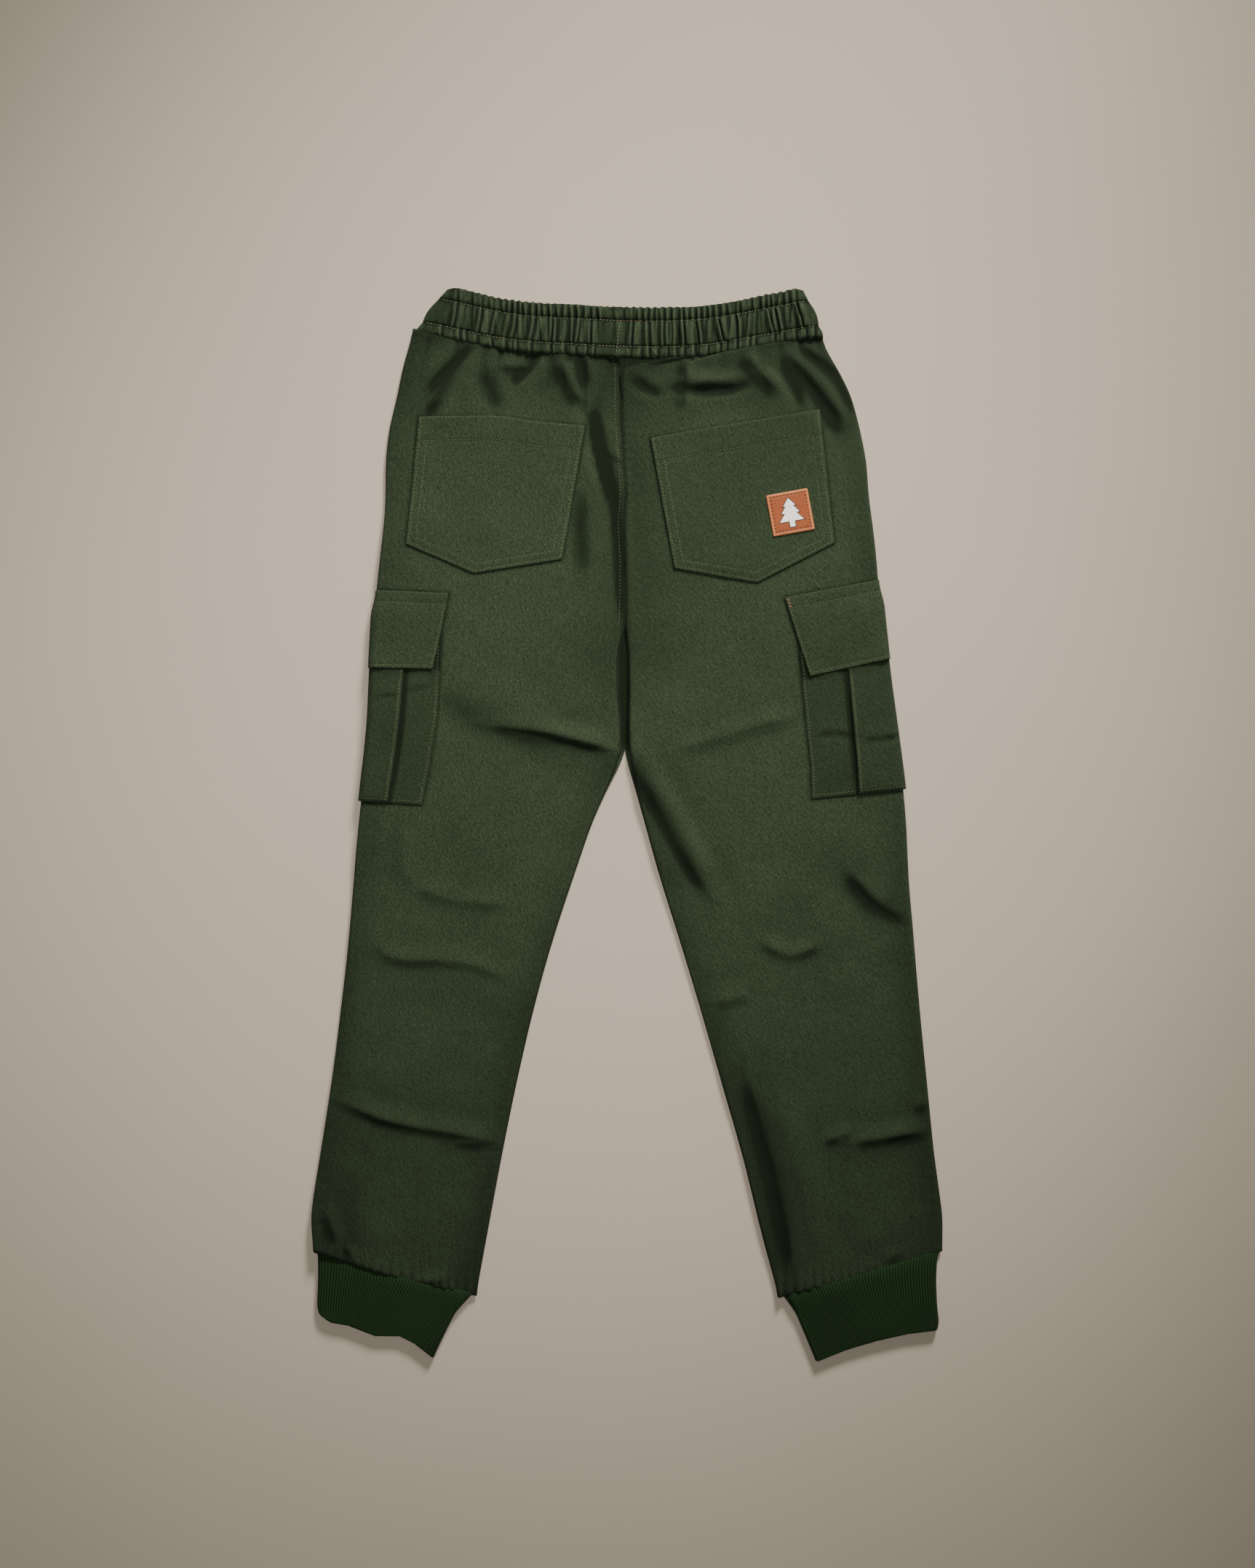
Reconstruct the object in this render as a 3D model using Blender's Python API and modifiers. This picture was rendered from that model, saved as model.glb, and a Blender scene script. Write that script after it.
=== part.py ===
"""Cargo trousers with an elastic waist and ribbed cuffs, lying flat with the back side up.

X runs to the wearer's right, Y to the waist and Z up, and the underside rests on Z = 0.
All sizes and tables are in millimetres; the meshes are scaled to metres by MM as they are made.
"""

import math

import bmesh
import bpy
import numpy as np
from mathutils import Vector
from mathutils.bvhtree import BVHTree

MM = 0.001
CLOTH = 1.2  # wall of the woven cloth
GAP = 0.3  # between pieces that touch
EDGE_GAP = 0.9  # between the outer faces of a back and a front piece; their inner faces are GAP apart
SEAM_GAP = 0.8  # at curved seams, where the two edges have points in different places

# Side names with the direction of X from the middle to that side's outer edge.
SIDES = {"left": -1, "right": 1}

# Colours: (red, green, blue), linear, and roughness
TWILL = ((0.040, 0.064, 0.030), 0.9)
TWILL_HIDDEN = ((0.034, 0.054, 0.026), 0.9)
RIB = ((0.019, 0.046, 0.018), 0.95)
LEATHER = ((0.434, 0.122, 0.040), 0.6)

# ---- Legs: each back or front panel runs from the waist seam to the cuff seam.

LEG_HEIGHT = 5.9  # two walls and the air between them
EDGE_ROUND = 4.0  # how far in from a side edge the cloth is still turning over
SEAT_ROWS = 12
LEG_ROWS = 16
BACK_COLUMNS = (1 / 7, 2 / 7, 3 / 7, 4 / 7, 5 / 7, 6 / 7)  # shares of a row's width
FRONT_COLUMNS = (0.44, 0.68)
ROUND_ANGLES = (0, 20, 50, 90)  # degrees round a side edge, from its outermost line

# Y where each row of a panel meets its outer and its inner edge
#           (outer_y, inner_y)
WAIST_ROW = (476, 452)
CROTCH_ROW = (100, 66)
HEM_ROW = (-411, -454)

# Outer edge of each leg: (y, distance from the middle)
OUTER_EDGE = {
    "left": (
        (476, 205), (443, 216), (401, 224), (375, 231), (350, 233), (310, 233), (280, 235), (240, 240),
        (163, 245), (93, 248), (23, 256), (-46, 263), (-116, 269), (-186, 277), (-256, 286), (-326, 297),
        (-390, 305), (-411, 302),
    ),
    "right": (
        (476, 186), (460, 195), (443, 204), (420, 214), (380, 225), (350, 231), (303, 234), (280, 238),
        (240, 241), (200, 245), (153, 250), (93, 258), (23, 267), (-46, 271), (-116, 277), (-186, 283),
        (-256, 290), (-326, 297), (-390, 305), (-411, 304),
    ),
}

# Inseam of each leg below the crotch: (y, distance from the middle)
INSEAM = {
    "left": (
        (66, 6), (37, 18), (23, 25), (-46, 50), (-116, 73), (-186, 92), (-256, 108), (-326, 122),
        (-396, 135), (-454, 146),
    ),
    "right": (
        (66, 2), (37, 7), (23, 11), (-46, 30), (-116, 52), (-186, 73), (-256, 93), (-326, 113),
        (-396, 130), (-454, 147),
    ),
}

# Centre back seam and the slit that it falls into above the crotch: (y, x)
CENTRE_BACK = {
    "left": ((452, -6), (361, -5), (336, 0), (292, -3), (236, -1), (187, -2), (165, -8), (125, -8), (90, -5), (66, -6)),
    "right": ((452, -6), (361, -5), (336, 0), (292, -3), (236, -1), (187, -1), (165, 1), (125, 1), (90, 1), (66, 2)),
}
CENTRE_FRONT = {"left": ((452, -2), (66, -2)), "right": ((452, -2), (66, -2))}
SLIT_TOP = 190  # the centre back seam lies level above this
SLIT_OPEN = 162  # and its edges turn right down below this

# Waist seam and cuff seams: (x, y)
WAIST_SEAM = (
    (-205, 476), (-160, 465), (-102, 455), (-50, 452), (22, 449), (75, 451), (120, 459), (190, 471),
)
CUFF_SEAM = {
    "left": ((-300, -412), (-227, -436), (-146, -455)),
    "right": ((147, -456), (217, -439), (303, -412)),
}
FRONT_WAIST_SEAM = ((-205, 476), (-2, 452), (190, 471))
SEAM_FADE = 70  # how far from a waist or cuff seam the rows of a panel still bend with it

# Broad folds of the upper panels: (x, y) of both ends, height and half width
FOLDS = (
    (-103, 95, -10, 80, 4.0, 17),  # across the left crotch
    (10, 58, 60, -20, 2.5, 16),  # from the crotch down the right leg
    (60, -20, 117, -72, 2.0, 18),
    (47, 78, 139, 100, 1.8, 16),  # across the right crotch
    (-246, -112, -103, -158, 3.0, 18),  # above the left knee
    (-212, 0, -211, -50, 2.0, 16),
    (-285, -268, -118, -308, 3.0, 18),  # below the left knee
    (216, -48, 270, -92, 2.2, 16),  # above the right knee
    (124, -262, 160, -405, 2.6, 17),  # down the right shin
    (205, -306, 291, -298, 2.2, 16),
    (-290, -372, -250, -392, 2.4, 16),  # where the legs blouse over the cuffs
    (228, -392, 280, -384, 2.4, 16),
    (-35, 430, -17, 215, -1.8, 18),  # beside the centre back seam
    (158, 452, 206, 400, 2.0, 16),
    (-150, 448, -192, 408, 1.8, 16),
)

# ---- Cargo pockets: each is centred on a side edge, half on the back and half on the front.

POCKET_OUT = GAP  # from the panel out to the inner face of the pocket
PLEAT_OUT = POCKET_OUT + CLOTH  # and to the inner face of its raised box pleat
PLEAT_STEP = 1.6  # width of the fold at the pleat's edge
FLAP_OUT = PLEAT_OUT + CLOTH + GAP  # and to the inner face of the flap
STACK = FLAP_OUT + CLOTH  # all that lies under the front panel there
WRAP_REACH = 0.46  # share of a row, from the side edge, that stays raised over that stack
WRAP_FLAT = 0.66  # and the share beyond which it lies level again
WRAP_BAND = (-14, 268)  # Y between which the panels stay raised
WRAP_FADE = 46  # and how far beyond that they take to come down

# Share from the top edge to the bottom edge, with the Y on the side edge, the X and Y on the
# edge that lies on the back, and how far from the side edge the box pleat reaches.
#           (share, side_y, edge_x, edge_y, pleat)
POCKET_ROWS = {
    "left": (
        (0.00, 192, -178, 190, 33), (0.22, 154, -180, 152, 31), (0.50, 103, -183, 103, 29),
        (0.78, 56, -191, 52, 27), (1.00, 23, -198, 19, 26),
    ),
    "right": (
        (0.00, 196, 157, 190, 36), (0.22, 160, 166, 151, 37), (0.50, 112, 172, 102, 39),
        (0.78, 64, 177, 55, 41), (1.00, 34, 178, 25, 43),
    ),
}
FLAP_ROWS = {
    "left": ((0.0, 225, -172, 222), (0.5, 188, -179, 186), (1.0, 151, -187, 150)),
    "right": ((0.0, 235, 152, 218), (0.5, 197, 164, 180), (1.0, 159, 176, 143)),
}
# How the flap rises from the panel that it is sewn to, over the pocket: (share, part of the rise)
FLAP_RISE = ((0.0, 0.2), (0.2, 0.5), (0.4, 1.0), (1.0, 1.0))

# ---- Back pockets: the top edge, then the bottom edge with its point in the middle: (x, y)

BACK_POCKET = {
    "left": (
        ((-200, 392), (-123, 393), (-86, 387), (-41, 384)),
        ((-212, 270), (-147, 242), (-63, 256)),
    ),
    "right": (
        ((23, 372), (77, 381), (131, 390), (185, 399)),
        ((46, 247), (125, 233), (199, 271)),
    ),
}
POCKET_CELLS = 6

# ---- Badge on the right back pocket: a leather square.

BADGE_CENTRE = (157, 300)
BADGE_SIDE = 40
BADGE_TURN = 9.5  # degrees
BADGE_THICK = 1.5
BADGE_CORNER = 1.5

# ---- Search that lays one piece on another without touching it

LAY_SAMPLES = 5  # places tried along each side of a cell
LAY_PASSES = 3

# ---- Waistband: cloth casing round an elastic, so one thick wall, gathered all round.

BAND_WALL = 2.4
BAND_HEIGHT = 8.4
BAND_TOP = (
    (-174, 519), (-150, 513), (-120, 506), (-90, 502), (-50, 500), (0, 498), (50, 498), (80, 500),
    (125, 508), (170, 518),
)
BAND_ENDS = (-204, 189)  # X of the band's two ends at the waist seam
BAND_COLUMNS = 60
GATHERS = 29
GATHER_HEIGHT = 1.2
# Rows from the top edge down: (share of the depth, height of the puff between the stitch lines)
BAND_ROWS = ((0.0, 0.0), (0.24, -0.5), (0.5, 0.5), (0.77, -0.5), (1.0, -0.2))

# ---- Cuffs: flattened tubes of rib knit.

CUFF_WALL = 2.2
CUFF_HEIGHT = 7.4
CUFF_GAP = 1.0  # from the last point of a leg to its cuff
CUFF_CELLS = 8  # across each flat side
# Share of the depth with the outer and inner side edges there
#           (share, outer_x, outer_y, inner_x, inner_y)
CUFF_ROWS = {
    "left": (
        (0.00, -300, -412, -147, -455), (0.08, -298, -421, -151, -458), (0.38, -298, -441, -166, -473),
        (0.72, -299, -464, -177, -493), (0.90, -297, -474, -184, -508), (1.00, -286, -479, -187, -515),
    ),
    "right": (
        (0.00, 303, -412, 148, -456), (0.08, 299, -421, 152, -460), (0.38, 298, -442, 163, -474),
        (0.72, 299, -465, 173, -496), (0.90, 301, -480, 180, -513), (1.00, 299, -488, 182, -518),
    ),
}


def through(table, at):
    """Value at `at` of a smooth curve through the rows (position, value) of a table."""
    places, values = np.array(sorted(table), float).T
    slopes = np.gradient(values, places)
    low = np.clip(np.searchsorted(places, at) - 1, 0, len(places) - 2)
    span = places[low + 1] - places[low]
    part = np.clip((at - places[low]) / span, 0, 1)
    start, end = values[low], values[low + 1]
    rise = part * part * (3 - 2 * part)
    bow = part * (1 - part) * span * (slopes[low] * (1 - part) - slopes[low + 1] * part)
    return start + (end - start) * rise + bow


def straight(table, at):
    """Value at `at` of straight lines through the rows (position, value) of a table."""
    places, values = np.array(sorted(table), float).T
    return np.interp(at, places, values)


def columns_of(table, *picked):
    """Rows of a table cut down to the picked columns."""
    return [tuple(row[column] for column in picked) for row in table]


def soft_step(value, start, end):
    """0 at `start`, 1 at `end` and smooth between them."""
    part = np.clip((value - start) / (end - start), 0, 1)
    return part * part * (3 - 2 * part)


def plain_material(name, colour, roughness):
    material = bpy.data.materials.new(name)
    material.use_nodes = True
    shader = material.node_tree.nodes["Principled BSDF"]
    shader.inputs["Base Color"].default_value = (*colour, 1)
    shader.inputs["Roughness"].default_value = roughness
    shader.inputs["Metallic"].default_value = 0
    return material


def add_object(name, bm, look):
    """A new object in the part's collection from a bmesh in millimetres."""
    bmesh.ops.scale(bm, vec=(MM, MM, MM), verts=bm.verts)
    mesh = bpy.data.meshes.new(name)
    bm.to_mesh(mesh)
    bm.free()
    mesh.materials.append(plain_material(name, *look))
    made = bpy.data.objects.new(name, mesh)
    part.objects.link(made)
    return made


def add_wall(made, wall, outward):
    """Turns an open surface into a wall, grown along its normals or against them."""
    solid = made.modifiers.new("wall", "SOLIDIFY")
    solid.thickness = wall * MM
    solid.offset = 1 if outward else -1
    solid.use_even_offset = True
    solid.use_quality_normals = True


def add_sheet(name, points, look, wall, outward, facing_up=True, closed=False):
    """A cloth wall on a grid of points, which is an array of (rows, columns, 3).

    The surface faces up, or down, at the last cell of its first row. A closed sheet is a tube.
    """
    rows, columns = points.shape[:2]
    bm = bmesh.new()
    bmesh.ops.create_grid(bm, x_segments=columns - 1, y_segments=rows - 1, size=1)
    for vert in bm.verts:
        column = round((vert.co.x + 1) / 2 * (columns - 1))
        row = round((vert.co.y + 1) / 2 * (rows - 1))
        vert.co = Vector(points[row, column])
    bm.normal_update()
    last = Vector(points[0, -2] + points[0, -1] + points[1, -2] + points[1, -1]) / 4
    nearest = min(bm.faces, key=lambda face: (face.calc_center_median() - last).length)
    if (nearest.normal.z > 0) != facing_up:
        bmesh.ops.reverse_faces(bm, faces=bm.faces)
    if closed:
        bmesh.ops.remove_doubles(bm, verts=bm.verts, dist=GAP / 10)
    made = add_object(name, bm, look)
    add_wall(made, wall, outward)
    return made


# ---- Shape of the legs


def outer_x(side, y):
    return SIDES[side] * through(OUTER_EDGE[side], y)


def inner_x(side, y, centre):
    """X of the inner edge: the centre seam above the crotch and the inseam below it."""
    if y >= CROTCH_ROW[1]:
        return straight(centre[side], y) + SIDES[side] * GAP / 2
    return SIDES[side] * through(INSEAM[side], y)


def row_ends(side, row, centre):
    """Both ends of a panel's row: (outer x, outer y, inner x, inner y)."""
    if row <= SEAT_ROWS:
        part, start, end = row / SEAT_ROWS, WAIST_ROW, CROTCH_ROW
    else:
        part, start, end = (row - SEAT_ROWS) / LEG_ROWS, CROTCH_ROW, HEM_ROW
    outer_y, inner_y = (a + (b - a) * part for a, b in zip(start, end))
    return outer_x(side, outer_y), outer_y, inner_x(side, inner_y, centre), inner_y


def raised(x, y):
    """How much the panels are raised at a place by the cargo pocket halves under them."""
    side = "left" if x < CENTRE_FRONT["left"][0][1] else "right"
    edge = outer_x(side, y)
    share = (edge - x) / (edge - inner_x(side, y, CENTRE_FRONT))
    across = 1 - soft_step(share, WRAP_REACH, WRAP_FLAT)
    low, high = WRAP_BAND
    along = soft_step(y, low - WRAP_FADE, low) * (1 - soft_step(y, high, high + WRAP_FADE))
    return STACK * across * along


def fold_height(x, y):
    """Height of the broad folds at a place of the upper panels."""
    total = 0
    for x0, y0, x1, y1, height, half_width in FOLDS:
        along = Vector((x1 - x0, y1 - y0))
        part = Vector((x - x0, y - y0)).dot(along) / along.length_squared
        nearest = Vector((x0, y0)) + along * min(max(part, 0), 1)
        away = (Vector((x, y)) - nearest).length
        total += height * math.exp(-((away / half_width) ** 2))
    return total * (1 - soft_step(raised(x, y) / STACK, 0.5, 1))


def across_row(width, shares):
    """Distances in from the outer edge of a row's points, with the turn at both rounded edges."""
    turn = [EDGE_ROUND * (1 - math.cos(math.radians(angle))) for angle in ROUND_ANGLES]
    flat = [share * width for share in shares]
    return [*turn, *flat, *(width - distance for distance in reversed(turn))]


def turned(distance, reach):
    """Share of its full height that the cloth has at a distance from a rounded edge."""
    part = max(1 - distance / reach, 0)
    return math.sqrt(1 - part * part)


def seam_bend(side, x, row_y, outer_y, inner_y, upper):
    """How far a row's point moves along Y to follow the waist seam or the cuff seam."""
    waist_y = through(WAIST_SEAM, x) if upper else straight(FRONT_WAIST_SEAM, x)
    ends = ((waist_y, WAIST_ROW, -1), (through(CUFF_SEAM[side], x), HEM_ROW, 1))
    moved = 0
    for seam_y, (end_outer, end_inner), inward in ends:
        middle = (outer_y + inner_y) / 2
        away = abs(middle - (end_outer + end_inner) / 2)
        chord = row_y + (end_outer - outer_y + end_inner - inner_y) / 2
        moved += (seam_y + inward * SEAM_GAP - chord) * (1 - soft_step(away, 0, SEAM_FADE))
    return moved


def panel_points(side, centre, shares, upper):
    """Points on the outer face of a leg's back panel (upper) or front panel."""
    rows = []
    for row in range(SEAT_ROWS + LEG_ROWS + 1):
        out_x, out_y, in_x, in_y = row_ends(side, row, centre)
        width = abs(out_x - in_x)
        if in_y < CROTCH_ROW[1]:
            opening = 1.0
        elif upper:
            opening = 1 - soft_step(in_y, SLIT_OPEN, SLIT_TOP)
        else:
            opening = 1.0 if row == SEAT_ROWS else 0.0
        points = []
        for distance in across_row(width, shares):
            share = distance / width
            x = out_x + (in_x - out_x) * share
            y = out_y + (in_y - out_y) * share
            y += seam_bend(side, x, y, out_y, in_y, upper)
            lift = raised(x, y)
            middle = lift + LEG_HEIGHT / 2
            height = turned(distance, EDGE_ROUND)
            height *= 1 - opening * (1 - turned(width - distance, EDGE_ROUND))
            if upper:
                top = LEG_HEIGHT / 2 + fold_height(x, y) * turned(distance, 5 * EDGE_ROUND)
                z = middle + EDGE_GAP / 2 + (top - EDGE_GAP / 2) * height
            else:
                z = middle - EDGE_GAP / 2 - (LEG_HEIGHT - EDGE_GAP) / 2 * height
            points.append((x, y, z))
        rows.append(points)
    return np.array(rows)


def build_legs():
    for side in SIDES:
        back = panel_points(side, CENTRE_BACK, BACK_COLUMNS, upper=True)
        front = panel_points(side, CENTRE_FRONT, FRONT_COLUMNS, upper=False)
        add_sheet(f"back_panel_{side}", back, TWILL, CLOTH, outward=False)
        add_sheet(f"front_panel_{side}", front, TWILL_HIDDEN, CLOTH, outward=False, facing_up=False)


# ---- Cargo pockets and flaps, which wrap a side edge


def wrap_point(side, side_y, edge_x, edge_y, distance, angle, out):
    """A point `out` away from the leg, `distance` in from where the side edge has turned over.

    The angle is the turn from the outermost line: 90 on the back and -90 on the front.
    """
    start_x = outer_x(side, side_y)
    inward = -SIDES[side]
    turn = math.radians(angle)
    x = start_x + inward * (EDGE_ROUND + distance - (EDGE_ROUND + out) * math.cos(turn))
    part = (x - start_x) / (edge_x - start_x)
    y = side_y + (edge_y - side_y) * part
    half = LEG_HEIGHT / 2
    z = STACK + half + (half + out) * math.sin(turn)
    return x, y, z


def wrap_columns(flat):
    """(distance, angle) round a side edge, with the given distances on each flat side."""
    turns = [(0, angle) for angle in (-90, -60, -30, 0, 30, 60, 90)]
    front = [(distance, -90) for distance in reversed(flat)]
    back = [(distance, 90) for distance in flat]
    return front + turns + back


def cargo_pocket(side):
    shares = columns_of(POCKET_ROWS[side], 0)
    rows = []
    for (share,) in shares:
        side_y, edge_x, edge_y, pleat = (
            straight(columns_of(POCKET_ROWS[side], 0, column), share) for column in range(1, 5)
        )
        edge = abs(edge_x - outer_x(side, side_y)) - EDGE_ROUND
        step = pleat - EDGE_ROUND
        flat = (step * 0.6, step, step + PLEAT_STEP, (step + edge) / 2, edge)
        points = []
        for distance, angle in wrap_columns(flat):
            out = PLEAT_OUT if distance <= step else POCKET_OUT
            points.append(wrap_point(side, side_y, edge_x, edge_y, distance, angle, out))
        rows.append(points)
    return add_sheet(f"cargo_pocket_{side}", np.array(rows), TWILL, CLOTH, outward=True)


def cargo_flap(side):
    rows = []
    for share, rise in FLAP_RISE:
        side_y, edge_x, edge_y = (
            straight(columns_of(FLAP_ROWS[side], 0, column), share) for column in range(1, 4)
        )
        out = POCKET_OUT + (FLAP_OUT - POCKET_OUT) * rise
        edge = abs(edge_x - outer_x(side, side_y)) - EDGE_ROUND
        columns = wrap_columns((edge / 2, edge))
        rows.append(
            [wrap_point(side, side_y, edge_x, edge_y, distance, angle, out) for distance, angle in columns]
        )
    return add_sheet(f"cargo_flap_{side}", np.array(rows), TWILL, CLOTH, outward=True)


# ---- Pieces that lie on the back


def height_over(below):
    """A function that gives the height of an object's upper face at a place."""
    graph = bpy.context.evaluated_depsgraph_get()
    tree = BVHTree.FromObject(below, graph)

    def height(x, y):
        hit = tree.ray_cast(Vector((x * MM, y * MM, 1)), Vector((0, 0, -1)))[0]
        return hit.z / MM if hit else 0.0

    return height


def lay_on(plan, below):
    """Heights for a grid of (x, y) points so that every cell clears the object below by GAP."""
    height = height_over(below)
    rows, columns = plan.shape[:2]
    heights = np.array([[height(*place) + GAP for place in row] for row in plan])
    shares = np.linspace(0, 1, LAY_SAMPLES)
    for _ in range(LAY_PASSES):
        for row in range(rows - 1):
            for column in range(columns - 1):
                corners = plan[row : row + 2, column : column + 2]
                levels = heights[row : row + 2, column : column + 2]
                lack = 0
                for down in shares:
                    for over in shares:
                        weights = np.outer((1 - down, down), (1 - over, over))
                        place = (corners * weights[..., None]).sum(axis=(0, 1))
                        lack = max(lack, height(*place) + GAP - (levels * weights).sum())
                levels += lack
    return np.dstack([plan, heights])


def build_back_pockets():
    for side in SIDES:
        top, bottom = BACK_POCKET[side]
        rows = []
        for down in np.linspace(0, 1, POCKET_CELLS + 1):
            row = []
            for over in np.linspace(0, 1, POCKET_CELLS + 1):
                ends = []
                for edge in (top, bottom):
                    shares = np.linspace(0, 1, len(edge))
                    ends.append([np.interp(over, shares, axis) for axis in np.transpose(edge)])
                row.append(np.array(ends[0]) * (1 - down) + np.array(ends[1]) * down)
            rows.append(row)
        points = lay_on(np.array(rows), bpy.data.objects[f"back_panel_{side}"])
        add_sheet(f"back_pocket_{side}", points, TWILL, CLOTH, outward=True)


def build_badge():
    half = BADGE_SIDE / 2
    ends = np.array([-half, half])
    turn = math.radians(BADGE_TURN)
    plan = []
    for up in ends:
        row = []
        for over in ends:
            x = BADGE_CENTRE[0] + over * math.cos(turn) - up * math.sin(turn)
            y = BADGE_CENTRE[1] + over * math.sin(turn) + up * math.cos(turn)
            row.append((x, y))
        plan.append(row)
    points = lay_on(np.array(plan), bpy.data.objects["back_pocket_right"])
    badge = add_sheet("badge", points, LEATHER, BADGE_THICK, outward=True)
    rounding = badge.modifiers.new("corners", "BEVEL")
    rounding.width = BADGE_CORNER * MM / 3
    rounding.segments = 2
    rounding.limit_method = "ANGLE"


# ---- Waistband


def band_end(share, end):
    """X and Y of one end of the band (0 left, 1 right) at a share of its depth."""
    top_x, top_y = BAND_TOP[0] if end == 0 else BAND_TOP[-1]
    low_x = BAND_ENDS[end]
    low_y = through(WAIST_SEAM, low_x)
    return top_x + (low_x - top_x) * share, top_y + (low_y - top_y) * share


def gather(place):
    """Height of the gathers, from -1 to 1, at a share of the way across the band."""
    sway = 1.4 * math.sin(11 * place + 0.8) + 0.9 * math.sin(29 * place)
    return math.cos(2 * math.pi * GATHERS * place + sway)


def build_band(name, cells, upper, look):
    rows = []
    for share, puff in BAND_ROWS:
        left_x, _ = band_end(share, 0)
        right_x, _ = band_end(share, 1)
        width = right_x - left_x
        points = []
        for distance in across_row(width, np.arange(1, cells) / cells):
            place = distance / width
            x = left_x + distance
            top_x = BAND_TOP[0][0] + (BAND_TOP[-1][0] - BAND_TOP[0][0]) * place
            low_x = BAND_ENDS[0] + (BAND_ENDS[1] - BAND_ENDS[0]) * place
            low_y = through(WAIST_SEAM, low_x) if upper else straight(FRONT_WAIST_SEAM, low_x)
            y = through(BAND_TOP, top_x) * (1 - share) + low_y * share
            height = turned(distance, EDGE_ROUND) * turned(width - distance, EDGE_ROUND)
            middle = BAND_HEIGHT / 2
            if upper:
                soft = min(1, min(distance, width - distance) / (3 * EDGE_ROUND))
                relief = (puff + GATHER_HEIGHT * gather(place) * (1 - 0.3 * share)) * soft
                z = middle + EDGE_GAP / 2 + (middle - EDGE_GAP / 2 + relief) * height
            else:
                z = middle - EDGE_GAP / 2 - (middle - EDGE_GAP / 2) * height
            points.append((x, y, z))
        rows.append(points)
    return add_sheet(name, np.array(rows), look, BAND_WALL, outward=False, facing_up=upper)


def build_waistband():
    build_band("waistband_back", BAND_COLUMNS, True, TWILL)
    build_band("waistband_front", BAND_COLUMNS // 4, False, TWILL_HIDDEN)


# ---- Cuffs


def build_cuffs():
    half_round = [math.radians(angle) for angle in (90, 60, 30, 0, -30, -60, -90)]
    for side in SIDES:
        rows = []
        for share, out_x, out_y, in_x, in_y in CUFF_ROWS[side]:
            width = abs(out_x - in_x)
            reach = CUFF_HEIGHT / 2
            flat = np.linspace(reach, width - reach, CUFF_CELLS + 1)
            loop = [(width - reach + reach * math.cos(turn), math.sin(turn)) for turn in half_round]
            loop += [(distance, -1) for distance in reversed(flat[1:-1])]
            loop += [(reach - reach * math.cos(turn), math.sin(turn)) for turn in reversed(half_round)]
            loop += [(distance, 1) for distance in flat[1:]]
            points = []
            for distance, up in loop:
                part = distance / width
                x = out_x + (in_x - out_x) * part
                y = out_y + (in_y - out_y) * part
                chord = CUFF_ROWS[side][0]
                seam = through(CUFF_SEAM[side], x) - (chord[2] + (chord[4] - chord[2]) * part)
                y += (seam - CUFF_GAP) * max(1 - share / 0.7, 0)
                points.append((x, y, CUFF_HEIGHT / 2 * (1 + up)))
            rows.append(points)
        add_sheet(f"cuff_{side}", np.array(rows), RIB, CUFF_WALL, outward=False, closed=True)


for old in list(bpy.data.objects):
    bpy.data.objects.remove(old, do_unlink=True)
part = bpy.data.collections.new("cargo_trousers")
bpy.context.scene.collection.children.link(part)

build_legs()
for side_name in SIDES:
    cargo_pocket(side_name)
    cargo_flap(side_name)
build_back_pockets()
build_badge()
build_waistband()
build_cuffs()
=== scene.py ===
"""Looks of the cargo trousers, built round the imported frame.

X runs to the wearer's right, Y to the waist and Z up, as in the frame. Sizes are in
millimetres up to the making of each mesh, which is in metres.
Every cloth piece is a grid of points on its outer face, of shape (rows, columns, 3), turned
into a thin closed shell. Rows run from the waist down, and columns from a side edge inwards.
"""

import math
from types import SimpleNamespace

import bpy
import numpy as np
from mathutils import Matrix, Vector
from mathutils.bvhtree import BVHTree


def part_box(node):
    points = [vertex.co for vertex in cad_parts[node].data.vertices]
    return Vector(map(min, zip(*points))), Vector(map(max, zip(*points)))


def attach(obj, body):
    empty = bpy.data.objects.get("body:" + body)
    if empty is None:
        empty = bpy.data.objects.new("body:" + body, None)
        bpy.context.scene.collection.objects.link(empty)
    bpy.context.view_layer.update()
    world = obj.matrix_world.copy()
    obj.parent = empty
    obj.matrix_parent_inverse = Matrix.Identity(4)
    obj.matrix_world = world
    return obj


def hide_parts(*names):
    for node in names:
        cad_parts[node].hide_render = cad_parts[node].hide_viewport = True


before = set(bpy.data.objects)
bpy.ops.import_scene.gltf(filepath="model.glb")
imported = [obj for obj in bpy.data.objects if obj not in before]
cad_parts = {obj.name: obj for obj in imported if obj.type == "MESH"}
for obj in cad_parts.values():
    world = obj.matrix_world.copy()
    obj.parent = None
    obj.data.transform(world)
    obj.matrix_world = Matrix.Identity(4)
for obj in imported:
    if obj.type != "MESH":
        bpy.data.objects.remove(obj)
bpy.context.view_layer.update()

MM = 0.001
SIDES = {"left": -1, "right": 1}
TURN = 2 * math.pi

# ---- Legs

WAIST_ROW = (476, 452)  # Y of the outer and the inner end of the panel row at the waist seam
CROTCH_ROW = (100, 66)  # and at the crotch
HEM_ROW = (-411, -454)  # and at the hem
LEG_WIDTH = 230  # the widest row, which sets the number of columns
LEG_CELL = 2.6  # size of a back panel's cells
FRONT_CELL = 7.0
EDGE_ROUND = 4.0  # how far in from a side edge the cloth is still turning over
ROUND_ANGLES = (0, 15, 32, 50, 70, 90)
EDGE_SOFT = 9  # how far along the side edges their unevenness is smoothed
SEAM_SPLIT = 0.15  # half the gap between the back and the front cloth at a side seam
SEAM_FADE = 70  # how far the curves of the waist and the hem reach into the rows beside them
SEAM_TUCK = 3.5  # how far from the waist and the hem seam the cloth dips into them
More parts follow.
